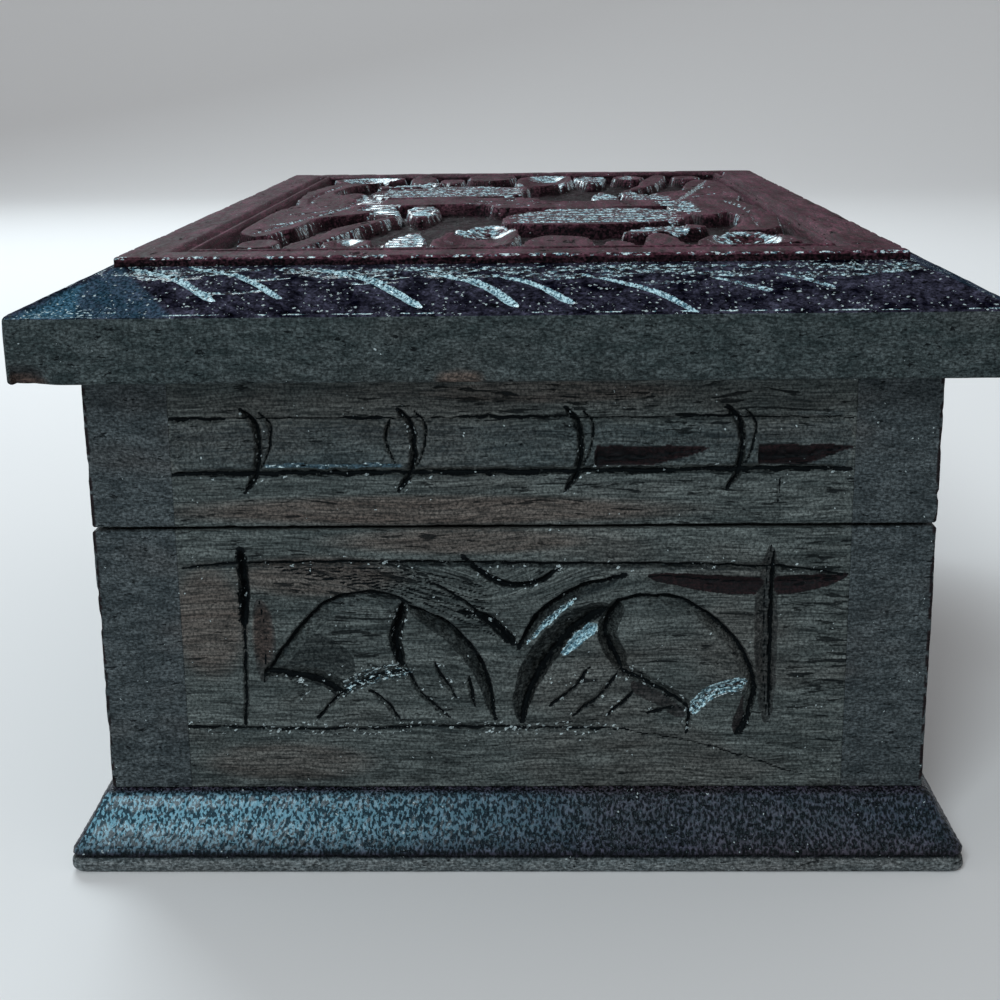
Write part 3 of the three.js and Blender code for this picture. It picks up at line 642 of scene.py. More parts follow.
# %% Wood
# Black for cracks, and for painted shade in the cuts.
BLACK = (0.0015, 0.0018, 0.0022)
BROWN = (0.075, 0.052, 0.042)
BARE_BROWN = (0.009, 0.004, 0.0045)
RAW_WOOD = (0.15, 0.08, 0.05)
# Pale specks: dust, and painted glints.
SPECK = (0.42, 0.5, 0.52)
# Pale cut wood: scraped fibres and painted highlights, in a darker and a brighter colour.
SCRAPED_AND_LIT = (0.07, 0.16, 0.21)
SCRAPED_AND_HIGHLIGHT = (0.7, 0.86, 0.9)
# A painted sheen: the window's cool reflection painted into the colour, dark, middle and bright.
PAINTED_SHEEN = (0.014, 0.05, 0.075)
PAINTED_SHEEN_MIDDLE = (0.08, 0.2, 0.3)
PAINTED_SHEEN_BRIGHT = (0.33, 0.7, 0.88)
WINDOW_TINT = (0.66, 0.9, 1.0, 1.0)
COAT_TINT = (0.8, 0.95, 1, 1)
VERY_DUSTY = 0.9
INSIDE_HALF = (SIDE_LOW[0] + 0.15, 0.15 - END_HIGH[1])
INSIDE_FLOOR = 1.0
RELIEF = 0.00012


def ebonised(name, along, stain, worn, brown_share, rough, gloss, specks, crumbling=0.5, ripples=0.0):
    """Stained and polished wood with its grain along axis 0 or 1. specks is how dusty it is."""
    material = new_material(name, {
        "Specular IOR Level": gloss, "Specular Tint": WINDOW_TINT, "Coat Roughness": 0.16,
        "Coat Tint": COAT_TINT})
    tree = material.node_tree
    at = millimetres(tree)
    mark = {key: result(tree, "ShaderNodeAttribute", output="Fac", attribute_name=key) for key in MARKS}
    bent = vector_maths("ADD", at, vector(z=mark["bend"]))
    swayed = vector_maths("MULTIPLY_ADD", noise(at, 0.05, 2.0, 0.5, "Color"), (4.0, 4.0, 2.5), bent)
    grain, crack_grain = (
        stretched(swayed, [thin if axis == along else (0.4, 1, 1.2)[axis] for axis in range(3)])
        for thin in (0.07, 0.14))

    # What varies: the grain and its pores, the stain, crumbs and dents of the surface.
    streaks = noise(grain, 0.8, 5.0, 0.7)
    fibres = noise(grain, 4.2, 2.0)
    thin_stain = noise(stretched(at, (0.6, 0.6, 1.3)), 0.06)
    cloudy = noise(at, 0.3, 4.0)
    crumbs = noise(at, 3.2, 2.0, 0.7)
    dents = noise(stretched(at, (2.2, 2.2, 0.9)), 1.5, 1.0)
    ragged = plus(noise(at, 4.5, 3.0, 0.6), -0.5)
    uneven = plus(noise(stretched(at, (0.6, 1, 1.6)), 1.3, 2.0), -0.5)
    openness = plus(times(mark["cracks"], 0.09), remap(cloudy, 0.35, 0.65, -0.08, 0))
    cracks = remap(plus(noise(crack_grain, 1.7, 3.0, 0.6), openness), 0.62, 0.66)
    in_cut = remap(plus(mark["edge"], times(ragged, 0.3)), 0.47, 0.53)
    # The line of painted shade at the bottom of a stroke, drawn sharper than the mesh.
    bolder = plus(mark["core"], times(ragged, 0.9), times(uneven, 1.5))
    painted_shade_line = times(remap(bolder, 0.42, 0.56), maths("GREATER_THAN", mark["core"], 0.02))

    # Stain, brown where it is thin, and the window's light on it, painted into the colour as a cool sheen.
    colour = mix_colour(remap(streaks, 0.32, 0.72), stain, worn)
    browned = maths("MAXIMUM", remap(thin_stain, 0.5, 0.66, 0, brown_share), mark["brown"])
    colour = mix_colour(browned, colour, BROWN)
    colour = mix_colour(times(mark["bare"], in_cut), colour, BARE_BROWN)
    # On ripples, light and shade are painted: darker in the hollows, lighter on the crests, with thin painted
    # glint lines along them.
    if ripples:
        rough_dents = plus(dents, times(plus(crumbs, -0.5), 0.35))
        from_crest = maths("ABSOLUTE", plus(rough_dents, -0.55))
        painted_crest_glints = plus(remap(rough_dents, 0.42, 0.68, 0, 0.6), remap(from_crest, 0, 0.03, 0.5, 0))
        dapple_and_ripple_shading = remap(dents, 0.4, 0.7, 0.15, 2.6)
        window = mix_colour(painted_crest_glints, PAINTED_SHEEN, PAINTED_SHEEN_BRIGHT)
        painted_sheen_share = times(mark["sheen"], remap(painted_crest_glints, 0, 1, 0.7, 1))
    else:
        dapple_and_ripple_shading = times(remap(fibres, 0.25, 0.75, 0.35, 1.6), remap(crumbs, 0.3, 0.7, 0.4, 1.6))
        window = mix_colour(remap(crumbs, 0.4, 0.62), PAINTED_SHEEN, PAINTED_SHEEN_MIDDLE)
        painted_sheen_share = mark["sheen"]
    grey = result(tree, "ShaderNodeCombineColor", {0: dapple_and_ripple_shading, 1: dapple_and_ripple_shading, 2: dapple_and_ripple_shading})
    colour = mix_colour(painted_sheen_share, mix_colour(1.0, colour, grey, "MULTIPLY"), window)

    # Painted shade in the cuts, black in the cracks, and a black line of painted shade at the bottom of a
    # stroke.
    colour = mix_colour(times(mark["deep"], in_cut, remap(crumbs, 0.35, 0.62, 0.97, 0.72)), colour, BLACK)
    black = maths("MAXIMUM", times(cracks, 0.85), painted_shade_line)
    colour = mix_colour(black, colour, BLACK)

    # Dust in specks, slanted specks beside the cuts as painted glints, and torn pale fibres where the gouge
    # scraped, which also paint highlights.
    shaken = vector_maths("MULTIPLY_ADD", noise(at, 3.0, 1.0, 0.5, "Color"), (0.5, 0.5, 0.5), at)
    slant = {"Vector": shaken, "Scale": (1.7, 1, 0.65), "Rotation": (0, -0.6, 0)}
    slanted = result(tree, "ShaderNodeMapping", slant, vector_type="TEXTURE")
    near_edge = times(remap(mark["edge"], 0.02, 0.2), remap(mark["edge"], 0.8, 1.2, 1, 0))
    dusted = times(mark["dust"], near_edge, remap(cloudy, 0.4, 0.55, 0.35, 1))
    clear_below = 0.2 if specks > VERY_DUSTY else 0.5
    dusty = plus(remap(cloudy, clear_below, 0.68, 0, specks), times(dusted, 0.3))
    specks_and_glints = maths(
        "MAXIMUM", spots(shaken, 1.9, 0.16 + 0.16 * specks, dusty), spots(slanted, 1.6, 0.36, dusted))
    colour = mix_colour(times(specks_and_glints, remap(crumbs, 0.35, 0.6, 0.5, 1)), colour, SPECK)
    fine = noise(stretched(at, (0.5, 1, 1)), 3.4, 3.0, 0.65)
    torn = remap(plus(fine, times(mark["pale"], 0.27)), 0.57, 0.67)
    scraped_and_highlight = times(torn, in_cut, maths("GREATER_THAN", mark["pale"], 0.05))
    pale = mix_colour(remap(crumbs, 0.4, 0.58), SCRAPED_AND_LIT, SCRAPED_AND_HIGHLIGHT)
    colour = mix_colour(scraped_and_highlight, colour, pale)

    # Raw wood inside the box.
    x, y, z = add_node(tree, "ShaderNodeSeparateXYZ", {0: at}).outputs
    within = [maths("LESS_THAN", maths("ABSOLUTE", way), half) for way, half in zip((x, y), INSIDE_HALF)]
    level = times(maths("LESS_THAN", z, LID_LOW[2] + 0.1), maths("GREATER_THAN", z, INSIDE_FLOOR))
    inside = times(*within, level)
    raw = mix_colour(remap(streaks, 0.35, 0.65), BROWN, RAW_WOOD)

    dull = remap(fibres, 0.3, 0.7, rough - 0.08, rough + 0.14)
    for value, amount in ((mark["bare"], 0.15), (specks_and_glints, 0.3), (inside, 0.3), (black, 0.3)):
        dull = plus(dull, times(value, amount))
    height = plus(
        times(fibres, 0.9 * crumbling), times(crumbs, crumbling), times(black, -1.2), times(dents, ripples))
    feed(tree.nodes["Principled BSDF"], {
        "Base Color": mix_colour(inside, colour, raw), "Roughness": dull,
        "Coat Weight": times(mark["polish"], in_cut, 0.8), "Normal": bumped(height, 1.0, RELIEF)})
    return material


# After each name: grain axis, stain, its worn colour, share of brown, roughness, gloss and dust.
END_WOOD = ebonised(
    "ebonised wood, grain across", 0, (0.03, 0.037, 0.037), (0.088, 0.102, 0.1), 0.2, 0.5, 0.14, 0.35)
SIDE_WOOD = ebonised(
    "ebonised wood, grain along", 1, (0.023, 0.029, 0.032), (0.063, 0.075, 0.08), 0.2, 0.5, 0.14, 0.4)
# The lid's maroon is partly the wood's own dark purple and partly a painted reflection of a pink room.
LID_WOOD = ebonised("polished lid wood", 1, (0.03, 0.0095, 0.015), (0.1, 0.042, 0.06), 0.1, 0.5, 0.02, 0.5)
BEVEL_WOOD = ebonised("bevel of the lid", 1, (0.001, 0.001, 0.004), (0.045, 0.045, 0.07), 0.0, 0.5, 0.0, 0.95)
EDGE_WOOD = ebonised(
    "lid edge, across the grain", 1, (0.017, 0.024, 0.025), (0.05, 0.062, 0.064), 0.1, 0.6, 0.12, 0.3)
# On the base the pale specks also paint small glints, and its ripples paint light and shade into the colour.
BASE_WOOD = ebonised(
    "rippled base wood", 1, (0.004, 0.004, 0.0075), (0.03, 0.028, 0.042), 0.1, 0.26, 0.15, 0.45, 0.15, 3.0)
NOSE_WOOD = ebonised(
    "worn nose of the base", 1, (0.07, 0.085, 0.09), (0.14, 0.155, 0.16), 0.2, 0.5, 0.12, 0.25)


# %% [markdown]
# ## Eight boards from one function
# All four sides of the tray and of the lid's rim are the same job: make the skin, sink the strokes,
# wear the edges, and turn the board to face its own way. The hinged boards also have shallow beds cut
# into the edge of the saw cut. A boolean does that before the carving, while the board is still plain.

# %% Facing
FACING = {"near": (0, -1), "right": (1, 0), "far": (0, 1), "left": (-1, 0)}


def face_axes(facing):
    """Unit vectors along a face, up it and out of it, as the rows of a matrix."""
    x, y = FACING[facing]
    return np.array([(-y, x, 0), (0, 0, 1), (x, y, 0)], float)


# %% Wear
WEAR_REACH = 0.45
UNWORN = 9  # an edge counts as this far off if it is glued, so that no wear reaches it


def patches(a, b, cell, seed, low, high):
    """Patches where noise is high: 0 outside them, 1 in their middles."""
    return ramp(soft_noise(a, b, cell, seed), low, high)


def edge_wear(u, v, low, high, seed):
    """Small chips and rubbed places along the edges of a face, as depths."""
    to_edge = np.minimum(np.minimum(u - low[0], high[0] - u), np.minimum(v - low[1], high[1] - v))
    depth = 0.3 * patches(u, v, 1.3, seed, 0.62, 0.95) + 0.12 * patches(u, v, 6, seed + 1, 0.4, 1)
    return depth * np.exp(-np.maximum(to_edge, 0) / WEAR_REACH)


def hand_flatness(u, v, seed):
    """A planed face is never quite flat, and its grain stands a little proud."""
    grain = soft_noise(u / 6, v, 0.45, seed + 9) + 0.6 * soft_noise(u / 9, v, 0.9, seed + 11)
    waves = 0.09 * (soft_noise(u, v, 9, seed) - 0.5) + 0.03 * (soft_noise(u, v, 2.2, seed + 7) - 0.5)
    return waves + 0.035 * grain


# %% Make a board
def cut_hinge_beds(board, leaf_nodes):
    """Sinks a bed for each leaf into a board, with a boolean against plain blocks."""
    for leaf in leaf_nodes:
        low, high = corners(leaf)
        low, high = low - (0, 0.1, 0), high + (0.1, 0.1, 0)
        low[0] = -HALF_WIDTH - 2
        low[2], high[2] = (SEAM - 1.1, SEAM + 1) if "tray" in leaf else (SEAM - 1, SEAM + 1.1)
        cutter = make_object("bed", *lattice_skin(*(np.array(pair) for pair in zip(low, high))))
        modifier = board.modifiers.new("bed", "BOOLEAN")
        modifier.object = cutter
        modifier.solver = "EXACT"
        apply_modifiers(board)
        bpy.data.objects.remove(cutter)


def oval_of(u, v, places):
    """1 inside any of these soft ovals, 0 far from them: middle, half sizes and strength of each."""
    return np.max([full * ramp(1.3 - np.hypot((u - a) / wide, (v - b) / tall), 0, 0.6)
                   for a, b, wide, tall, full in places], axis=0)


BROWN_PLACES = [
    (-33, 28, 4, 6, 0.55), (-21, 33, 9, 2.2, 0.5), (-9, 40.3, 26, 1.6, 0.6), (-25, 11.5, 9, 2.2, 0.35),
    (4, 53, 14, 1.2, 0.4), (-5, 36.9, 14, 1.4, 0.5), (-27.2, 26.4, 1.1, 3.4, 0.7)]
CRACKED_PLACES = [
    (-12, 32, 15, 2.6, 1), (-15, 26, 5, 4, 0.7), (19, 25, 6, 4, 0.5), (34, 27, 5, 13, 0.8),
    (12, 51.5, 30, 2.6, 0.9), (20, 43, 20, 4, 0.5), (-20, 36.5, 16, 1.5, 0.3)]


def face_marks(u, v):
    """Where the grain bends, where brown shows and where the grain is open, on an end of the box."""
    sweep = np.clip((u + 29) / 25, 0, 1) ** 2.2 * (1 - ramp(u, -4, 13))
    bend = 4.8 * sweep * ramp(v, 27, 31) * (1 - ramp(v, 34.4, 34.9))
    return {"bend": bend, "brown": oval_of(u, v, BROWN_PLACES), "cracks": oval_of(u, v, CRACKED_PLACES)}


def make_board(node, facing, material, body, strokes, step, seed, leaves=()):
    """The carved board that stands for a node. Glued edges stay sharp, so the joints stay tight."""
    axes = face_axes(facing)
    ends = np.array(corners(node)) @ axes.T
    low, high = ends.min(0), ends.max(0)
    steps = (step, step, high[2] - low[2])
    points, faces = lattice_skin(*(grid_lines(*side) for side in zip(low, high, steps)))
    runs_through, is_rim = facing in ("left", "right"), node.startswith("rim")
    soft = ((runs_through, runs_through), (is_rim, not is_rim), (0, 1))
    board = make_object(f"{node}_carved", round_arrises(points, soft) @ axes, faces, material)
    board.data.polygons[len(faces) - 1].use_smooth = False
    cut_hinge_beds(board, leaves)
    u, v, w = (get_points(board) @ axes.T).T
    outer = on_face(w, high[2])
    depth, marks = carve(u, v, strokes)
    glued = UNWORN * (1 - np.array(soft[:2]))
    worn = edge_wear(u, v, low[:2] - glued[:, 0], high[:2] + glued[:, 1], seed + 5)
    w -= np.where(outer, depth + hand_flatness(u, v, seed + 3) + worn, 0)
    set_points(board, np.stack([u, v, w], 1) @ axes)
    if runs_through:
        at_corner = (w > high[2] - 0.4) & (np.minimum(u - low[0], high[0] - u) < 0.5)
        for name in ("bare", "edge"):
            raise_mark(marks, name, at_corner & (soft_noise(v, w, 0.6, seed) > 0.4))
    else:
        marks.update(face_marks(u, v))
    set_marks(board, {name: np.where(outer, values, 0) for name, values in marks.items()})
    hand_in(board, body, "carcass_wood", node)


# %% [markdown]
# The long sides are not in the picture. A maker repeats what worked, so each carries the same panel
# twice and a longer run of the cane rail. The second panel is mirrored, and every stroke is nudged a
# little, because no two are cut alike by hand.

# %% Repeats for the other faces
PANEL_SHIFT = 31
JOINT_PITCH = 17
PLAIN_END = 9.4


def nudged(strokes, shift, seed, mirror=False):
    """The same strokes somewhere else along the face, with a carver's small errors."""
    random = np.random.default_rng(seed)
    made = []
    for cut in strokes:
        error = random.normal(0, 0.18, 2)
        points = [((-x if mirror else x) + shift + error[0], z + error[1]) for x, z in cut["points"]]
        walls = (cut["right"], cut["left"]) if mirror else (cut["left"], cut["right"])
        made.append({**cut, "points": points, "left": walls[0], "right": walls[1]})
    return made


def side_panels(seed):
    """Two panels side by side between frame lines that run the whole length."""
    motif = END_PANEL[len(FRAME_LINES):]
    run = HALF_LENGTH - PLAIN_END
    long_lines = [
        stroke([(-run, 34.3), (0, 34.5), (run, 34.2)], 0.3, 0.5, 0.6, 0.08, 0.08),
        stroke([(-run, 15.5), (0, 15.4), (run, 15.6)], 0.5, 0.4, 0.5, 0.08, 0.08, dust=1),
    ]
    return nudged(motif, -PANEL_SHIFT, seed) + nudged(motif, PANEL_SHIFT, seed + 1, True) + long_lines


def side_rail(seed):
    """The cane rail along a whole side, with a joint every pitch and a chip beside some of them."""
    run = HALF_LENGTH - PLAIN_END
    joints = np.arange(-PLAIN_END - 3 * JOINT_PITCH + 3, run - 2, JOINT_PITCH)
    cuts = [cane_joint(u) for u in joints] + [chip(u + 1.8, 11) for u in joints[1::3]]
    return rail_lines(-run, run) + nudged(cuts, 0, seed)


# %% The eight boards
TRAY_LEAVES = ("near_hinge_tray_leaf", "far_hinge_tray_leaf")
LID_LEAVES = ("near_hinge_lid_leaf", "far_hinge_lid_leaf")
make_board("tray_near_end", "near", END_WOOD, "box", END_PANEL, NEAR_STEP, 11)
make_board("rim_near_end", "near", END_WOOD, "lid", END_RAIL, NEAR_STEP, 12)
make_board("tray_far_end", "far", END_WOOD, "box", nudged(END_PANEL, 0, 5), FAR_STEP, 13)
make_board("rim_far_end", "far", END_WOOD, "lid", nudged(END_RAIL, 0, 6), FAR_STEP, 14)
make_board("tray_right_side", "right", SIDE_WOOD, "box", side_panels(1), FAR_STEP, 15)
make_board("rim_right_side", "right", SIDE_WOOD, "lid", side_rail(3), FAR_STEP, 16)
make_board("tray_left_side", "left", SIDE_WOOD, "box", side_panels(2), FAR_STEP, 17, TRAY_LEAVES)
make_board("rim_left_side", "left", SIDE_WOOD, "lid", side_rail(4), FAR_STEP, 18, LID_LEAVES)

# %% [markdown]
# ## Mouldings that follow a rule
# The base and the lid are both boards with a shaped edge: one outline, taken round a rectangle, with
# mitred corners. Geometry Nodes can state that rule directly. A grid has one direction that runs round
# the rectangle and one that runs along the outline. Each point of it is then put where the two say.
# Stations are crowded towards the near side, where the picture looks closely.


# %% Node groups
def node_group(name, **sockets):
    """A geometry node group and its inputs, which are named by the kind of their sockets."""
    tree = bpy.data.node_groups.new(name, "GeometryNodeTree")
    tree.interface.new_socket("Geometry", in_out="OUTPUT", socket_type="NodeSocketGeometry")
    for kind, keys in sockets.items():
        for key in keys:
            tree.interface.new_socket(key, in_out="INPUT", socket_type=f"NodeSocket{kind}")
    return tree, tree.nodes.new("NodeGroupInput").outputs


def finish_group(tree, geometry, material):
    """Ends a group: copies made real, then the material."""
    real = result(tree, "GeometryNodeRealizeInstances", {"Geometry": geometry})
    done = result(tree, "GeometryNodeSetMaterial", {"Geometry": real, "Material": material})
    add_node(tree, "NodeGroupOutput", {"Geometry": done})
    return tree


def run_tree(name, tree, values):
    """A plain mesh object, made by a node group with these named inputs."""
    made = make_object(name, np.zeros((0, 3)), [])
    modifier = made.modifiers.new(tree.name, "NODES")
    modifier.node_group = tree
    known = {item.name: item.identifier for item in tree.interface.items_tree if item.in_out == "INPUT"}
    for key, value in values.items():
        modifier[known[key]] = value
    return apply_modifiers(made)


# %% Moulding tree
def moulding_tree():
    """Builds the node group: an outline swept round a rounded rectangle, with mitred corners."""
    tree, given = node_group(
        "moulding round a rectangle", Object=["Outline"], Int=["Stations", "Outline Points"],
        Float=["Half Width", "Half Length", "Corner Radius", "Crowding"], Material=["Material"])
    half_width, half_length = given["Half Width"], given["Half Length"]
    width, length = times(half_width, 2), times(half_length, 2)
    rectangle = result(tree, "GeometryNodeCurvePrimitiveQuadrilateral", {"Width": width, "Height": length})
    fillet = {"Curve": rectangle, "Count": 8, "Radius": given["Corner Radius"]}
    path = result(tree, "GeometryNodeFilletCurve", fillet, mode="POLY")

    stations, rows = given["Stations"], given["Outline Points"]
    grid_size = {"Size X": 1, "Size Y": 1, "Vertices X": stations, "Vertices Y": rows}
    grid = add_node(tree, "GeometryNodeMeshGrid", grid_size).outputs
    share = add_node(tree, "ShaderNodeSeparateXYZ", {0: grid["UV Map"]}).outputs
    near_middle = maths("DIVIDE", plus(width, plus(length, half_width)), times(plus(width, length), 2))
    turn = times(maths("SUBTRACT", share[0], near_middle), math.tau)
    crowd = maths("DIVIDE", times(maths("SINE", turn), given["Crowding"]), math.tau)
    round_share = maths("FRACT", plus(maths("SUBTRACT", share[0], crowd), 1))
    walk = {"Curves": path, "Factor": round_share}
    walked = result(tree, "GeometryNodeSampleCurve", walk, "Position", mode="FACTOR")

    outline = result(tree, "GeometryNodeObjectInfo", {"Object": given["Outline"]}, "Geometry")
    index = maths("ROUND", times(share[1], maths("SUBTRACT", rows, 1)))
    sampler = tree.nodes.new("GeometryNodeSampleIndex")
    sampler.data_type = "FLOAT_VECTOR"
    sampled = {"Geometry": outline, "Value": result(tree, "GeometryNodeInputPosition"), "Index": index}
    for socket in sampler.inputs:
        if socket.enabled and socket.name in sampled:
            tree.links.new(sampled[socket.name], socket)
    out, up = add_node(tree, "ShaderNodeSeparateXYZ", {0: sampler.outputs[0]}).outputs[:2]

    across = add_node(tree, "ShaderNodeSeparateXYZ", {0: walked}).outputs
    target = vector(*(times(across[axis], plus(maths("DIVIDE", out, half), 1))
                      for axis, half in enumerate((half_width, half_length))), up)
    moved = result(tree, "GeometryNodeSetPosition", {"Geometry": grid[0], "Position": target})
    closed = result(tree, "GeometryNodeMergeByDistance", {"Geometry": moved, "Distance": 1e-7})
    return finish_group(tree, closed, given["Material"])


MOULDING = moulding_tree()


# %% Sweep and close a moulding
def swept_board(name, outline, corner, stations, crowding, material):
    """A board whose edge has this outline of (out from the carcass, height) points, bottom first."""
    guide = make_object(f"{name} outline", [(out, up, 0) for out, up in outline], [])
    values = {
        "Outline": guide, "Half Width": HALF_WIDTH * MM, "Half Length": HALF_LENGTH * MM,
        "Corner Radius": corner * MM, "Stations": stations, "Outline Points": len(outline),
        "Crowding": crowding, "Material": material,
    }
    board = run_tree(name, MOULDING, values)
    bpy.data.objects.remove(guide)
    skin = bmesh.new()
    skin.from_mesh(board.data)
    bmesh.ops.remove_doubles(skin, verts=skin.verts, dist=1e-7)
    for face in skin.faces:
        face.smooth = True
    bmesh.ops.holes_fill(skin, edges=[edge for edge in skin.edges if edge.is_boundary])
    bmesh.ops.recalc_face_normals(skin, faces=skin.faces)
    for face in skin.faces:
        face.smooth = len(face.verts) == 4
    skin.to_mesh(board.data)
    skin.free()
    return board


def two_woods(thing, above, below, height):
    """One material for the faces above a height, and another for those below it."""
    thing.data.materials.clear()
    for wood in (above, below):
        thing.data.materials.append(wood)
    middles = np.zeros(len(thing.data.polygons) * 3)
    thing.data.polygons.foreach_get("center", middles)
    thing.data.polygons.foreach_set("material_index", (middles[2::3] / MM < height).astype(int))


def arc(centre, radius, start, end, count):
    """Points along part of a circle, from one angle to another, in degrees."""
    turn = np.radians(np.linspace(start, end, count))
    return [(centre[0] + radius * math.cos(t), centre[1] + radius * math.sin(t)) for t in turn]


def even(start, end, step):
    """Points along a straight line, without its ends."""
    start, end = np.array(start, float), np.array(end, float)
    count = max(2, round(np.linalg.norm(end - start) / step))
    return [tuple(start + (end - start) * i / count) for i in range(1, count)]


# %% [markdown]
# ## The base
# The slope round the base was cut with a knife and polished: close upright ripples catch the light.
# The colour adds a painted sheen, strongest on the near slope towards its left, with painted light and
# shade on the ripples, and painted shade in the groove above the nose.
# Large ripples are carved into the mesh, and the small ones are the material's own. Below the slope is
# a short nose, rubbed paler than the rest, with a soft edge where the box slides on a table. It is one
# board with two finishes, so the faces below the nose's top take the second material.

# %% Base board
FOOT_OUT = BASE_HIGH[0] - HALF_WIDTH
BASE_TOP = BASE_HIGH[2]


def base_outline():
    """From the rounded under edge, up the nose and the slope, to the foot of the carcass."""
    under = arc((FOOT_OUT - 1, 0.9), 1, -64, 0, 6)
    nose = [(FOOT_OUT - dip, up) for dip, up in ((0, 1.3), (0.05, 1.6), (0.28, 1.8), (0.3, 2), (0.1, 2.25))]
    slope = [(FOOT_OUT - 0.18, 2.7), (3.35, 3.7), (2.5, 5), (1.6, 6.8), (0.85, 7.9), (0.2, 8.3)]
    return [(FOOT_OUT - 0.8, 0), *under, *nose, *map(tuple, smooth_line(slope, 7)), (-0.3, BASE_TOP)]


def around_edge(points, half):
    """For points round a rectangle with these half sizes: which side each is on, how far along it, and
    how far in from it."""
    x, y = points[:, 0], points[:, 1]
    inward = np.stack([y + half[1], half[0] - x, half[1] - y, x + half[0]])
    side = inward.argmin(0)
    along = np.choose(side, [x, y, -x, -y])
    return side, along, inward.min(0)


base = swept_board("base_board_moulded", base_outline(), 1.2, 1560, 0.55, BASE_WOOD)
points = get_points(base)
side, along = around_edge(points, BASE_HIGH)[:2]
height = points[:, 2]
sloping = ramp(height, 2.2, 3.2) * (1 - ramp(height, BASE_TOP - 0.9, BASE_TOP - 0.2))
round_it = along + 97 * side  # a way round the board, on which no two sides share their noise
tool_marks = soft_noise(3.3 * (round_it - 0.3 * height), 1.9 * height, 1, 21) - 0.5
tool_marks += 0.6 * soft_noise(round_it, height, 2.2, 22) - 0.3
body_half = np.array((HALF_WIDTH, HALF_LENGTH))
outward = points[:, :2] - np.clip(points[:, :2], -body_half, body_half)
outward /= np.maximum(np.linalg.norm(outward, axis=1, keepdims=True), 1e-6)
rubbed = patches(round_it, height, 1.8, 23, 0.4, 1) * (1 - sloping) * (height < 2.4) * (height > 0.2)
moved_in = sloping * (0.12 - 0.2 * tool_marks).clip(0, None) * (1 - 0.4 * (side == 0)) + 0.14 * rubbed
points[:, :2] -= outward * moved_in[:, None]
set_points(base, points)
# Painted shade in the groove above the nose. Then a painted sheen, the cool reflection of the light painted
# into the colour of the slopes: faint all round, strong on the near slope towards its left end and its top.
in_groove = ramp(height, 1.55, 1.8) * (1 - ramp(height, 2.1, 2.4))
towards_window = np.maximum(ramp(-along, -21, 42) * (side == 0), 0.07)
sheen = towards_window * sloping * (0.45 + 0.55 * ramp(height, 3, 4.8))
set_marks(base, {"deep": in_groove, "sheen": sheen, "polish": 0.2 * sheen, "edge": np.ones(len(points))})
two_woods(base, BASE_WOOD, NOSE_WOOD, 1.75)
hand_in(base, "box", "base_wood", "base_board")

# %% [markdown]
# ## The lid's edge and bevel
# The lid is one thick board. Its edge is square, then a shallow bevel rises to a small upright step.
# Feathered gouge strokes run down the bevel, all leaning the same way, and short torn cuts crowd along
# the foot of the step. Both are pale, as scraped wood and as painted highlights. The bevel is nearly
# black, with dust in its pores and a painted cool sheen at its near left end. The face of the step has
# painted shade, and the square edge below it is rubbed grey, with pale painted highlights along its
# worn top arris, so the board has two finishes, as the base has. The mesh is kept in two, the
# bevelled board and the raised field on it, so that each stays a sensible size.

# %% Bevelled board
LID_OUT = LID_HIGH[0] - HALF_WIDTH
EDGE_TOP = LID_LOW[2] + 7
BEVEL_WIDTH = 9.5
BEVEL_TOP = EDGE_TOP + 3.8
FIELD_SEAT = EDGE_TOP - 1
LID_TOP = LID_HIGH[2]


def lid_outline():
    """From the under edge, up the square edge and the bevel, to the foot of the step."""
    foot = LID_OUT - BEVEL_WIDTH
    under = arc((LID_OUT - 0.35, LID_LOW[2] + 0.35), 0.35, -90, 0, 4)
    top = arc((LID_OUT - 0.5, EDGE_TOP - 0.5), 0.5, 0, 70, 4)
    edge = even(under[-1], top[0], 0.5)
    bevel = even(top[-1], (foot, BEVEL_TOP), 0.21)
    step = [(foot - 0.05, BEVEL_TOP), (foot - 0.15, BEVEL_TOP - 0.2), (foot - 0.15, FIELD_SEAT)]
    return [*under, *edge, *top, *bevel, *step]


FEATHERS = [  # their points, width and strength
    ([(-39.9, 9.4), (-34.7, 7.4), (-29.6, 2.8)], 0.65, 1.0),
    ([(-33.6, 9.4), (-27.9, 7.5), (-23, 3.2)], 0.55, 1.0),
    ([(-21.2, 9), (-14.4, 6.8), (-8.6, 1.4)], 0.75, 1.0),
    ([(-8.4, 7.8), (-3, 5.8), (1.1, 1.4)], 0.75, 1.0),
    ([(-1.9, 7.4), (2.6, 5.6), (6.6, 1.8)], 0.65, 1.0),
    ([(7.4, 7.3), (14.3, 4.4), (18.9, 0.2)], 0.6, 1.0),
    ([(20.5, 6.5), (23.9, 5.3), (26.6, 3.9)], 0.45, 0.6),
    ([(27.3, 7.3), (30.6, 6), (33, 4.4)], 0.45, 0.6),
]


def feather(points, width, strength):
    """A stroke that starts thin by the step and ends broad near the lower edge."""
    # Its pale mark is scraped wood and a painted highlight on the stroke together.
    return stroke(points, width * 0.5, width, 0.42 * strength, 1, 0.15, 0.02, polish=1, pale=0.8 * strength)


def tears(length, seed):
    """Short torn cuts along the foot of the step, where the gouge turned against the grain."""
    random = np.random.default_rng(seed)
    starts = random.uniform(9 - length, length - 10, int(3.6 * length))
    lines = ([(u, 8.9 - d), (u + 1.4, 8.7 - d), (u + 2.8 + d, 9 - d)]
             for u, d in zip(starts, random.exponential(0.7, 999)))
    # Their pale marks paint glints along the step's foot as well as scraped wood.
    return [stroke(line, 0.2, 0.18, 0.16, line=0.02, pale=0.27, polish=0.6) for line in lines]


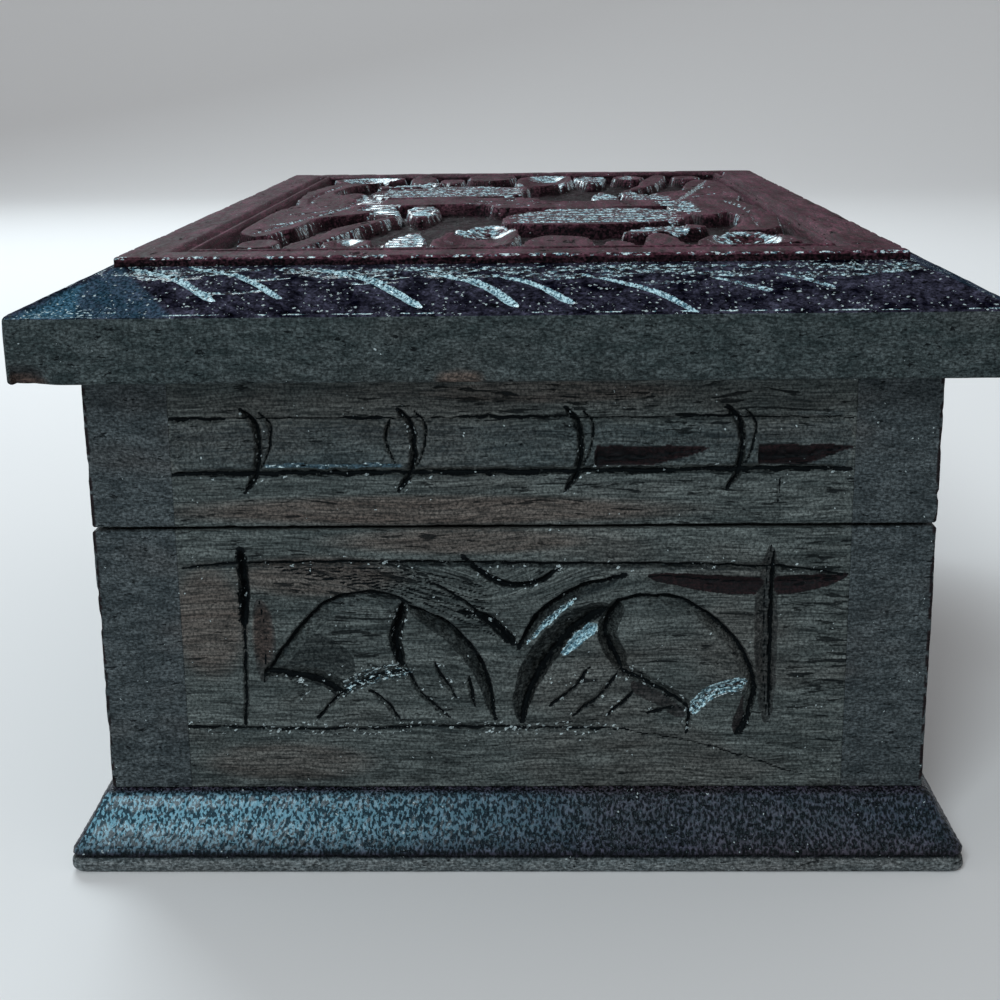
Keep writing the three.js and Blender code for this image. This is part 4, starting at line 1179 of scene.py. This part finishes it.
def feather_run(length, seed):
    """Feathers along a side that the picture does not show, in pairs as on the near one."""
    random = np.random.default_rng(seed)
    starts = np.concatenate([[u, u + 6.5] for u in np.arange(-length + 11, length - 18, 19.5)])
    shape = FEATHERS[3][0]
    first = shape[0][0]
    shifts = zip(starts, random.normal(0, 0.4, len(starts)))
    feathers = [feather([(x - first + u, y + d) for x, y in shape], 0.6, 1.0) for u, d in shifts]
    return feathers + tears(length, seed)


# %% Work on the lid's edge
lid = swept_board("lid_board_bevelled", lid_outline(), 0.9, 1250, 0.55, LID_WOOD)
points = get_points(lid)
height = points[:, 2]
side, along, inset = around_edge(points, LID_HIGH)
near_side = side == 0
round_it = along + 211 * side
on_bevel = (height > EDGE_TOP - 0.15) & (inset < BEVEL_WIDTH + 0.02) & (inset > 0.1)
depth = np.zeros(len(points))
marks = {name: np.zeros(len(points)) for name in MARKS}
near_feathers = [feather(*values) for values in FEATHERS] + tears(51, 31)
for number, cuts in enumerate((near_feathers, feather_run(76, 41), feather_run(51, 42), feather_run(76, 43))):
    here = on_bevel & (side == number)
    depth[here], left = carve(along[here], inset[here], cuts)
    for name in MARKS:
        marks[name][here] = left[name]
waves = soft_noise(round_it, inset, 3.5, 44) - 0.5 + 0.5 * (soft_noise(round_it, inset, 0.9, 45) - 0.5)
past_first_cut = np.where(near_side, -33.5 - 0.74 * inset - along, 0)
first_cut = 0.06 * np.clip(past_first_cut, 0, 14)
points[:, 2] -= np.where(on_bevel, depth + (0.12 * waves + first_cut) * ramp(inset, 0, 1), 0)
edge_face = (height < EDGE_TOP) & (inset < 0.6)
dents = 0.12 * (soft_noise(round_it, height, 2.5, 46) - 0.5)
dents += 0.1 * patches(round_it, height, 1.1, 47, 0.55, 1) * np.exp(-(EDGE_TOP - height) / 0.6)
from_corner = ((points[:, 0] + LID_HIGH[0] - 1) / 3.2) ** 4 + ((height - LID_LOW[2]) / 2.1) ** 4
lost = np.exp(-from_corner) * near_side
pushed = dents + 0.05 + lost * (0.7 + 0.5 * soft_noise(along, height, 0.7, 48))
outward = np.array(list(FACING.values()))[side]
points[:, :2] -= outward * np.where(edge_face, pushed, 0)[:, None]
set_points(lid, points)

# %% Marks on the lid's edge
# A pale painted highlight in patches along the worn top arris of the edge.
rub = patches(round_it, inset, 1.3, 49, 0.4, 0.6) * (inset < 0.36) * (height > EDGE_TOP - 0.12)
by_edge = inset < 1.9 + 0.8 * soft_noise(along, inset, 1.5, 60)
# A pale band of painted highlight near the lower left end of the near bevel.
lit_foot = near_side * on_bevel * ramp(-along, 36, 43) * by_edge
# Painted shade on the face of the step.
step_foot = inset > BEVEL_WIDTH - 0.05
# A painted cool sheen on the facet left of the first cut, brightest at its left end.
marks["sheen"] = ramp(past_first_cut, -0.1, 0.3) * (0.3 + 0.5 * ramp(-along, 43.5, 44.5)) * on_bevel
brown_edge = [(-5, LID_LOW[2] + 0.4, 2.4, 0.9, 0.7), (-50, LID_LOW[2], 3, 1, 1)]
marks["brown"] = near_side * oval_of(along, height, brown_edge)
for name, values in (("pale", 0.6 * rub), ("pale", 0.1 * lit_foot), ("bare", 0.5 * ramp(lost, 0.3, 0.6)),
                     ("deep", step_foot)):
    raise_mark(marks, name, values)
raise_mark(marks, "edge", (marks["bare"] + rub + lit_foot + step_foot) > 0)
set_marks(lid, marks)
two_woods(lid, BEVEL_WOOD, EDGE_WOOD, EDGE_TOP - 0.25)
hand_in(lid, "lid", "lid_wood", "lid_board")

# %% [markdown]
# ## The raised field
# Inside a border groove the ground is sunk, and leaves and pods are left standing. The picture sees
# this almost edge on, so what can be matched is the play of flats, dark hollows and lit slopes. The
# hollows and steep walls get painted shade, and the gentle slopes towards the viewer painted
# highlights. Each shape that stands is an outline or a thick line, with a top that is level, dished or
# leaning. The far half is the near half turned round, the way such a lid is laid out.

# %% Shapes that stand
FIELD_HALF = LID_HIGH[:2] - BEVEL_WIDTH
BORDER_INSET = 5.8
GROUND_INSET = 7.4
GROUND_DEPTH = 1.75


def closed_line(outline):
    """A smooth line through the points and back to the first."""
    return smooth_line([outline[-1], *outline, outline[0], outline[1]], 5)[5:-5]


def oval(x, y, half_x, half_y):
    """Ten points round an oval."""
    turn = np.arange(10) * math.tau / 10
    return [(x + half_x * math.cos(t), y + half_y * math.sin(t)) for t in turn]


def turned_round(line):
    """The same line on the other half of the lid."""
    return [(-x, -y) for x, y in line]


def inside_line(x, y, line):
    """Which points a closed line goes round, by counting how often it is crossed to one side."""
    within = np.zeros(len(x), bool)
    for (ax, ay), (bx, by) in zip(line[:-1], line[1:]):
        spans = (ay > y) != (by > y)
        within ^= spans & (x < ax + (bx - ax) * (y - ay) / ((by - ay) or 1))
    return within


# Each shape: its outline, the depth of its top, and how far the middle of the top is dished.
SHAPES = [
    ([(-33, -40), (-29.5, -45), (-27.5, -38), (-26, -30), (-25.5, -22), (-20.5, -16), (-17.5, -8), (-19, 2),
      (-24, 8), (-30, 4), (-33, -8), (-33.5, -25)], 0.1, 0.1),
    (oval(-28.6, -52, 2.6, 4.6), 0.2, 0.3),
    ([(-25.6, -57), (-23.2, -41), (-21.8, -33), (-19.2, -25.5), (-16.2, -18), (-15, -17), (-16.8, -25),
      (-18.8, -33), (-20, -42), (-23, -57.5)], 0.2, 0),
    (oval(-18.6, -52.5, 2.9, 5.2), 0.2, 0.8),
    ([(-14.5, -57), (-13.7, -44), (-11, -41.5), (-9.6, -50), (-9.7, -58)], 0.2, 0),
    ([(-9, -57), (-8.5, -44), (-6.5, -37), (-2.5, -33), (0.6, -38), (0.9, -47), (-0.3, -56), (-4, -59)],
     0.15, 1),
    ([(0.9, -58), (1.8, -50), (4.5, -46.5), (8.5, -49), (9.4, -56), (8, -59.5), (3, -60)], 0.12, 0),
    ([(9.9, -58), (10.4, -50), (12.5, -48.5), (14, -52), (14, -58)], 0.6, 0),
    ([(14.9, -58.5), (15.2, -47), (17.2, -43), (19, -48), (19.3, -58.5)], 0.3, 0),
    ([(12.8, -43), (16, -35.5), (21, -33.5), (23.6, -37), (19, -41.5), (15, -44.5)], 0.2, 0),
    ([(20.5, -57), (22, -49), (25.5, -43.5), (30.5, -46), (32.5, -54), (27, -58.5)], 0.15, 1),
    ([(-1.5, -30), (3, -33.5), (12, -33.8), (20, -30), (23, -22), (21, -12), (14, -9.4), (5, -10.5),
      (-0.5, -18)], 0.1, 0),
    ([(25.5, -42), (31, -41.5), (33.3, -30), (33.3, -12), (30, 6), (25.5, -2), (24.8, -13), (28.6, -22),
      (27.5, -34)], 0.1, 0),
    ([(-15, -4), (-12, -3), (-10.6, -8), (-11.2, -16), (-13, -21), (-14.8, -14)], 0.25, 0),
    ([(-27.4, 19), (-24, 21), (-20.5, 8), (-17.4, -4), (-15.4, -14), (-17, -20), (-20, -15), (-22, -4),
      (-25.4, 6)], 0.15, 0),
]
HALF_CENTRE = [(-27, 0), (-22, -6), (-17.5, -7), (-15.5, -3.2), (-5, -2.8), (-3, -8.5), (4, -9.8), (14, -9.2),
               (22, -7)]
CENTRE = (HALF_CENTRE + turned_round(HALF_CENTRE), 0.08, 0)
# Ribs: their points, the widths of their walls and their depth.
LEAF_RIBS = [
    ([(-22, 4), (-27, -20), (-31.3, -43)], 0.35, 0.5, 0.6),
    ([(-31, -30), (-28.8, -27), (-27.2, -22)], 0.3, 0.4, 0.4),
    ([(-31.8, -16), (-28.4, -13), (-25.6, -8)], 0.3, 0.4, 0.4),
    ([(29.6, 2), (31, -16), (29.4, -40)], 0.35, 0.5, 0.5),
]
# Rows of short cuts that lean the same way: left end, right end, far wall, spacing and number.
HATCHES = [
    ((-14.6, -56.6), (-9.6, -56.2), 2.1, 2.5, 6), ((-15.2, -17), (-10.8, -17), 2.1, 2.7, 5),
    ((-0.6, -31), (21.5, -29.5), 2.6, 3.4, 6), ((13.6, -42), (21.5, -40), 2.2, 2.6, 3),
    ((-20.5, -15), (-15.2, -16.5), 2.4, 3, 2), ((-22, -8.5), (-16.6, -9.5), 2.4, 3, 3),
    ((-24.5, 2), (-19.6, 1), 2.4, 3, 6), ((22.6, -50), (30.6, -50.4), 2.6, 3, 2),
    ((-7.6, -40.6), (0.4, -39.8), 2.6, 3, 2),
]


def hatch(left, right, rise):
    """One cut of a row: from left to right, a little bowed towards the viewer, and this far up."""
    middle = ((left[0] + right[0]) / 2, (left[1] + right[1]) / 2 + rise - 0.4)
    return [(left[0], left[1] + rise), middle, (right[0], right[1] + rise)]


FAR_WALLS = [(hatch(left, right, n * gap), wall, 0.4, 0.34 * wall, 0.12, 0.12)
             for left, right, wall, gap, count in HATCHES for n in range(count)]
PETALS = [
    ([(wide * math.cos(t + lag), tall * math.sin(t + lag)) for wide, tall, lag in
      ((2.2, 2, 0), (6, 5, 0.25), (8.6, 7.2, 0))], 0.3, 0.6, 0.4) for t in np.arange(8) * math.pi / 4]


# %% Relief
def relief_depth(x, y):
    """Depth of the carving below the top of the field."""
    ground = GROUND_DEPTH + 0.3 * (soft_noise(x, y, 1.5, 51) - 0.5)
    depth = ground.copy()
    x, y = x + 0.5 * (soft_noise(x, y, 2.5, 54) - 0.5), y + 0.5 * (soft_noise(x, y, 2.5, 55) - 0.5)
    for outline, sink, dish in [CENTRE] + SHAPES + [(turned_round(line), *rest) for line, *rest in SHAPES]:
        line = closed_line(outline)
        near = near_line(x, y, line, 1.0)
        px, py = x[near], y[near]
        away = nearest_on_line(px, py, line)[0]
        away = np.where(inside_line(px, py, line), away, -away)
        top = sink + dish * ramp(away, 0.3, 3.4)
        share = ramp(away, -0.2, 0.3)
        depth[near] = np.minimum(depth[near], top * share + ground[near] * (1 - share))
    return depth


def inside_edge(x, y):
    """How far inside the edge of the field each point lies."""
    return np.minimum(FIELD_HALF[0] - np.abs(x), FIELD_HALF[1] - np.abs(y))


def field_depth(x, y):
    """The border groove, the sunk relief inside it and the cuts on what stands."""
    inward = inside_edge(x, y)
    groove = 0.9 * np.clip(1 - np.abs(inward - BORDER_INSET) / 0.9, 0, 1)
    sunk = ramp(inward, GROUND_INSET - 0.2, GROUND_INSET + 0.3)
    near = LEAF_RIBS + FAR_WALLS
    far = [(turned_round(line)[::-1], *rest) for line, *rest in near]
    cut = carve(x, y, [stroke(*values) for values in near + far + PETALS])[0]
    relief = np.minimum(relief_depth(x, y) + cut, 2.0) * sunk
    return np.maximum(groove, relief) + 0.05 * (soft_noise(x, y, 4, 52) - 0.5)


def field_marks(x, y, z, cut):
    """What the light finds, partly painted: gentle slopes towards the viewer are glossy cuts with pale
    painted highlights, the near arris has painted highlights in dashes, and steep walls, hollows and the
    face of the step are painted with shade.
    """
    rise = (field_depth(x, y - 0.15) - field_depth(x, y + 0.15)) / 0.3
    lit_slopes = ramp(rise, 0.1, 0.22) * (1 - ramp(rise, 0.55, 0.8))
    lit_slopes *= ramp(cut, 0.1, 0.25) * (1 - ramp(cut, 1.1, 1.4))
    hollow = np.maximum(ramp(cut, 1.1, 1.5), ramp(np.abs(rise), 0.9, 1.6))
    # Pale painted highlights on the lit slopes and in dashes along the near arris.
    arris = (y < 0.3 - FIELD_HALF[1]) * (z > LID_TOP - 0.3) * patches(x, 0 * y, 0.45, 56, 0.5, 0.65)
    pale = np.maximum(lit_slopes * soft_noise(x / 2.5, y, 0.35, 57), 0.4 * arris)
    # Painted shade on the face of the step all round, in the hollows and on steep walls.
    step_face = (z < LID_TOP - 0.35) & (inside_edge(x, y) < 0.1)
    deep = np.maximum(hollow * (1 - lit_slopes), step_face)
    return {"polish": lit_slopes, "pale": pale, "deep": deep, "edge": np.ones(len(x))}


# %% Field mesh
FIELD_STEPS = (0.27, 0.52)
FIELD_SPLIT = -30.0


def field_lines():
    """Cuts across the field: close together near the viewer, wider apart behind."""
    near, far = (grid_lines(-FIELD_HALF[1], FIELD_HALF[1], step) for step in FIELD_STEPS)
    return np.concatenate([near[near < FIELD_SPLIT], far[far >= FIELD_SPLIT]])


x_lines = grid_lines(-FIELD_HALF[0], FIELD_HALF[0], 0.34)
z_lines = grid_lines(FIELD_SEAT, LID_TOP, 3)
skin, faces = lattice_skin(x_lines, field_lines(), z_lines)
skin = round_arrises(skin, ((1, 1), (1, 1), (0, 1)))
on_top = on_face(skin[:, 2], LID_TOP)
cut = field_depth(skin[:, 0], skin[:, 1])
wear = edge_wear(skin[:, 0], skin[:, 1], -FIELD_HALF, FIELD_HALF, 53)
skin[:, 2] -= np.where(on_top, cut + 0.03 + wear, 0)
field = make_object("lid_field_relief", skin, faces, LID_WOOD)
field.data.polygons[len(faces) - 1].use_smooth = False
for name, values in field_marks(*skin.T, cut).items():
    set_marks(field, {name: np.where(on_top | (name in ("deep", "edge")), values, 0)})
hand_in(field, "lid", "lid_wood", "lid_board")

# %% [markdown]
# ## Brass
# The hinges are cut from thin brass sheet rolled round a pin. Brass dulls to brown where it is not
# rubbed, so the colour is mixed by noise, and the roughness with it.


# %% Brass material
RUBBED_BRASS = (0.62, 0.43, 0.18)
TARNISHED = (0.2, 0.115, 0.045)
SCRATCH_DEPTH = 0.00002


def aged_brass(name):
    """Brass with brown tarnish in patches and fine scratches along its length."""
    material = new_material(name, {"Metallic": 1.0})
    at = millimetres(material.node_tree)
    tarnish = noise(at, 0.6, 5.0, 0.6)
    scratches = noise(stretched(at, (6, 0.4, 6)), 1.2, 2.0)
    feed(material.node_tree.nodes["Principled BSDF"], {
        "Base Color": mix_colour(remap(tarnish, 0.4, 0.65), RUBBED_BRASS, TARNISHED),
        "Roughness": remap(tarnish, 0.35, 0.7, 0.26, 0.55), "Normal": bumped(scratches, 0.5, SCRATCH_DEPTH)})
    return material


BRASS = aged_brass("aged brass")

# %% [markdown]
# ## Hinge leaves
# A butt hinge is a row of knuckles that take turns round one pin. That is a repeat, so Geometry Nodes
# make it: one knuckle, a ring with softened ends, is set at every second place along the pin, and the
# plate is joined to it. The other leaf is the same tree with the odd places instead of the even ones.

# %% Leaf tree
PIN_X, PIN_Z = (frame["joints"][0]["pos_m"][axis] / MM for axis in (0, 2))
KNUCKLES = 5
BARREL_RADIUS = 1.5
BORE_RADIUS = 0.78
KNUCKLE_GAP = 0.2


def knuckle_tree():
    """Builds the node group: rings along the Y axis, at every second place from a first one."""
    tree, given = node_group(
        "knuckles on a pin", Int=["Count"], Material=["Material"],
        Float=["Barrel Radius", "Bore Radius", "Knuckle Length", "Pitch", "First Middle", "Softening"])
    barrel, bore = given["Barrel Radius"], given["Bore Radius"]
    section = {"Width": maths("SUBTRACT", barrel, bore), "Height": given["Knuckle Length"]}
    wall = result(tree, "GeometryNodeCurvePrimitiveQuadrilateral", section)
    fillet = {"Curve": wall, "Count": 3, "Radius": given["Softening"]}
    softened = result(tree, "GeometryNodeFilletCurve", fillet, mode="POLY")
    middle = {"Resolution": 48, "Radius": maths("DIVIDE", plus(barrel, bore), 2)}
    circle = result(tree, "GeometryNodeCurvePrimitiveCircle", middle)
    ring = result(tree, "GeometryNodeCurveToMesh", {"Curve": circle, "Profile Curve": softened})
    upright = result(tree, "GeometryNodeTransform", {"Geometry": ring, "Rotation": (math.pi / 2, 0, 0)})
    smooth = result(tree, "GeometryNodeSetShadeSmooth", {"Geometry": upright})
    line = {
        "Count": given["Count"], "Start Location": vector(y=given["First Middle"]),
        "Offset": vector(y=times(given["Pitch"], 2))}
    places = result(tree, "GeometryNodeMeshLine", line)
    row = result(tree, "GeometryNodeInstanceOnPoints", {"Points": places, "Instance": smooth})
    return finish_group(tree, row, given["Material"])


KNUCKLE_ROW = knuckle_tree()


# %% Leaves and pins
PLATE = 0.9
OFF_SEAM = 0.2
SOFT_PLATE = 0.1
SOFT_ROOT = 0.08


def soft_block(low, high, radius):
    """Points and faces of a block with rounded arrises, in millimetres."""
    lines = [grid_lines(a, b, (b - a) / 2, radius) for a, b in zip(low, high)]
    points, faces = lattice_skin(*lines)
    return round_arrises(points, arris=radius), faces


def from_bmesh(name, skin, material):
    """An object from a mesh that was worked on, which is then let go."""
    mesh = bpy.data.meshes.new(name)
    skin.to_mesh(mesh)
    skin.free()
    mesh.materials.append(material)
    return link(name, mesh)


def join(pieces, name):
    """Several plain meshes as one object."""
    skin = bmesh.new()
    for piece in pieces:
        skin.from_mesh(piece.data)
        bpy.data.objects.remove(piece)
    bmesh.ops.recalc_face_normals(skin, faces=skin.faces)
    return from_bmesh(name, skin, BRASS)


def make_leaf(hinge, owner, body):
    """The knuckles, their roots and the plate of one leaf, joined into one piece."""
    node = f"{hinge}_{owner}_leaf"
    low, high = corners(node)
    pitch = (high[1] - low[1]) / KNUCKLES
    knuckle = pitch - KNUCKLE_GAP
    first, bottom = (0, SEAM - OFF_SEAM - PLATE) if owner == "tray" else (1, SEAM + OFF_SEAM)
    top = bottom + PLATE
    places = [low[1] + (place + 0.5) * pitch for place in range(first, KNUCKLES, 2)]
    values = {
        "Barrel Radius": BARREL_RADIUS * MM, "Bore Radius": BORE_RADIUS * MM, "Knuckle Length": knuckle * MM,
        "Pitch": pitch * MM, "Count": len(places), "First Middle": places[0] * MM, "Softening": 0.12 * MM,
        "Material": BRASS,
    }
    knuckles = run_tree(f"{node} knuckles", KNUCKLE_ROW, values)
    set_points(knuckles, get_points(knuckles) + (PIN_X, 0, PIN_Z))
    blocks = [soft_block((-HALF_WIDTH, low[1], bottom), (high[0], high[1], top), SOFT_PLATE)]
    for at in places:
        root = (PIN_X + 0.9, at - knuckle / 2, bottom), (0.5 - HALF_WIDTH, at + knuckle / 2, top)
        blocks.append(soft_block(*root, SOFT_ROOT))
    pieces = [make_object(f"{node} block", points, faces, BRASS) for points, faces in blocks] + [knuckles]
    hand_in(join(pieces, f"{node}_rolled"), body, "brass", node)


def make_pin(hinge):
    """A turned pin with rounded ends, along Y."""
    node = f"{hinge}_pin"
    low, high = corners(node)
    radius = (high[0] - low[0]) / 2
    outline = [(0, low[1]), (radius * 0.5, low[1]), (radius * 0.85, low[1] + 0.1), (radius, low[1] + 0.3)]
    outline += [(r, low[1] + high[1] - y) for r, y in reversed(outline)]
    skin = bmesh.new()
    ring = [skin.verts.new(Vector((r, y, 0)) * MM) for r, y in outline]
    edges = [skin.edges.new(pair) for pair in zip(ring[:-1], ring[1:])]
    bmesh.ops.spin(skin, geom=ring + edges, axis=(0, 1, 0), cent=(0, 0, 0), angle=math.tau, steps=32)
    bmesh.ops.remove_doubles(skin, verts=skin.verts, dist=1e-7)
    bmesh.ops.recalc_face_normals(skin, faces=skin.faces)
    bmesh.ops.translate(skin, verts=skin.verts, vec=Vector((PIN_X, 0, PIN_Z)) * MM)
    pin = from_bmesh(f"{node}_turned", skin, BRASS)
    pin.data.shade_smooth()
    hand_in(pin, "box", "brass", node)


for hinge in ("near_hinge", "far_hinge"):
    make_leaf(hinge, "tray", "box")
    make_leaf(hinge, "lid", "lid")
    make_pin(hinge)

# %% [markdown]
# ## Screws
# Eight countersunk screws, all alike but for where their slots point. Geometry Nodes cut one slot
# into one head, then set copies at two places on each of two hinges, each turned by a seeded random
# angle. Four go down into the tray and four go up into the lid, so the tree runs once for each.


# %% Screw tree
def screw_tree():
    """Builds the node group: slotted countersunk screws, two to a leaf and a leaf to each hinge."""
    tree, given = node_group(
        "countersunk screws", Int=["Seed"], Vector=["Row", "Turn"], Material=["Material"],
        Float=["Head Radius", "Head Depth", "Shank Radius", "Length", "Slot Width", "Slot Depth",
               "Hinge Spacing", "Screw Spacing"])
    depth, shank_radius, length = given["Head Depth"], given["Shank Radius"], given["Length"]

    def cone(vertices, top, bottom, tall, lowered):
        sizes = {"Vertices": vertices, "Radius Top": top, "Radius Bottom": bottom, "Depth": tall}
        made = result(tree, "GeometryNodeMeshCone", sizes)
        down = vector(z=times(lowered, -1))
        return result(tree, "GeometryNodeTransform", {"Geometry": made, "Translation": down})

    def pair(spacing):
        start = vector(y=maths("DIVIDE", spacing, -2))
        line = {"Count": 2, "Start Location": start, "Offset": vector(y=spacing)}
        return result(tree, "GeometryNodeMeshLine", line)

    def copies(points, instance, **turned):
        inputs = {"Points": points, "Instance": instance, **turned}
        placed = result(tree, "GeometryNodeInstanceOnPoints", inputs)
        return result(tree, "GeometryNodeRealizeInstances", {"Geometry": placed})

    head = cone(40, given["Head Radius"], shank_radius, depth, depth)
    shank = cone(24, shank_radius, 0.0002, maths("SUBTRACT", length, depth), length)
    slot_size = vector(0.01, given["Slot Width"], times(given["Slot Depth"], 2))
    slot = result(tree, "GeometryNodeMeshCube", {"Size": slot_size})
    cut = {"Mesh 1": head, "Mesh 2": slot}
    slotted = result(tree, "GeometryNodeMeshBoolean", cut, operation="DIFFERENCE")
    whole = tree.nodes.new("GeometryNodeJoinGeometry")
    for piece in (slotted, shank):
        tree.links.new(piece, whole.inputs[0])

    four = copies(pair(given["Hinge Spacing"]), pair(given["Screw Spacing"]))
    any_turn = {0: (0.0, 0.0, 0.0), 1: (0.0, 0.0, math.pi), "Seed": given["Seed"]}
    spin = result(tree, "FunctionNodeRandomValue", any_turn, data_type="FLOAT_VECTOR")
    real = copies(four, whole.outputs[0], Rotation=spin)
    moved = {"Geometry": real, "Translation": given["Row"], "Rotation": given["Turn"]}
    return finish_group(tree, result(tree, "GeometryNodeTransform", moved), given["Material"])


SCREWS = screw_tree()


# %% Set the screws
def set_screws(owner, body):
    """The four screws that go into one body."""
    nodes = [f"{hinge}_{owner}_screw_{n}" for hinge in ("near_hinge", "far_hinge") for n in (1, 2)]
    boxes = [corners(node) for node in nodes]
    first, second, third = [(low + high) / 2 for low, high in boxes[:3]]
    low, high = boxes[0]
    face, turn = (high[2], 0.0) if owner == "tray" else (low[2], math.pi)
    values = {
        "Head Radius": (high[1] - low[1]) / 2 * MM, "Head Depth": 1.05 * MM, "Shank Radius": 0.85 * MM,
        "Length": (high[2] - low[2]) * MM, "Slot Width": 0.42 * MM, "Slot Depth": 0.45 * MM,
        "Hinge Spacing": (third[1] - first[1]) * MM, "Screw Spacing": (second[1] - first[1]) * MM,
        "Row": (first[0] * MM, 0.0, face * MM), "Turn": (0.0, turn, 0.0), "Seed": 3, "Material": BRASS,
    }
    hand_in(run_tree(f"{owner}_screws", SCREWS, values), body, "brass", *nodes)


set_screws("tray", "box")
set_screws("lid", "lid")
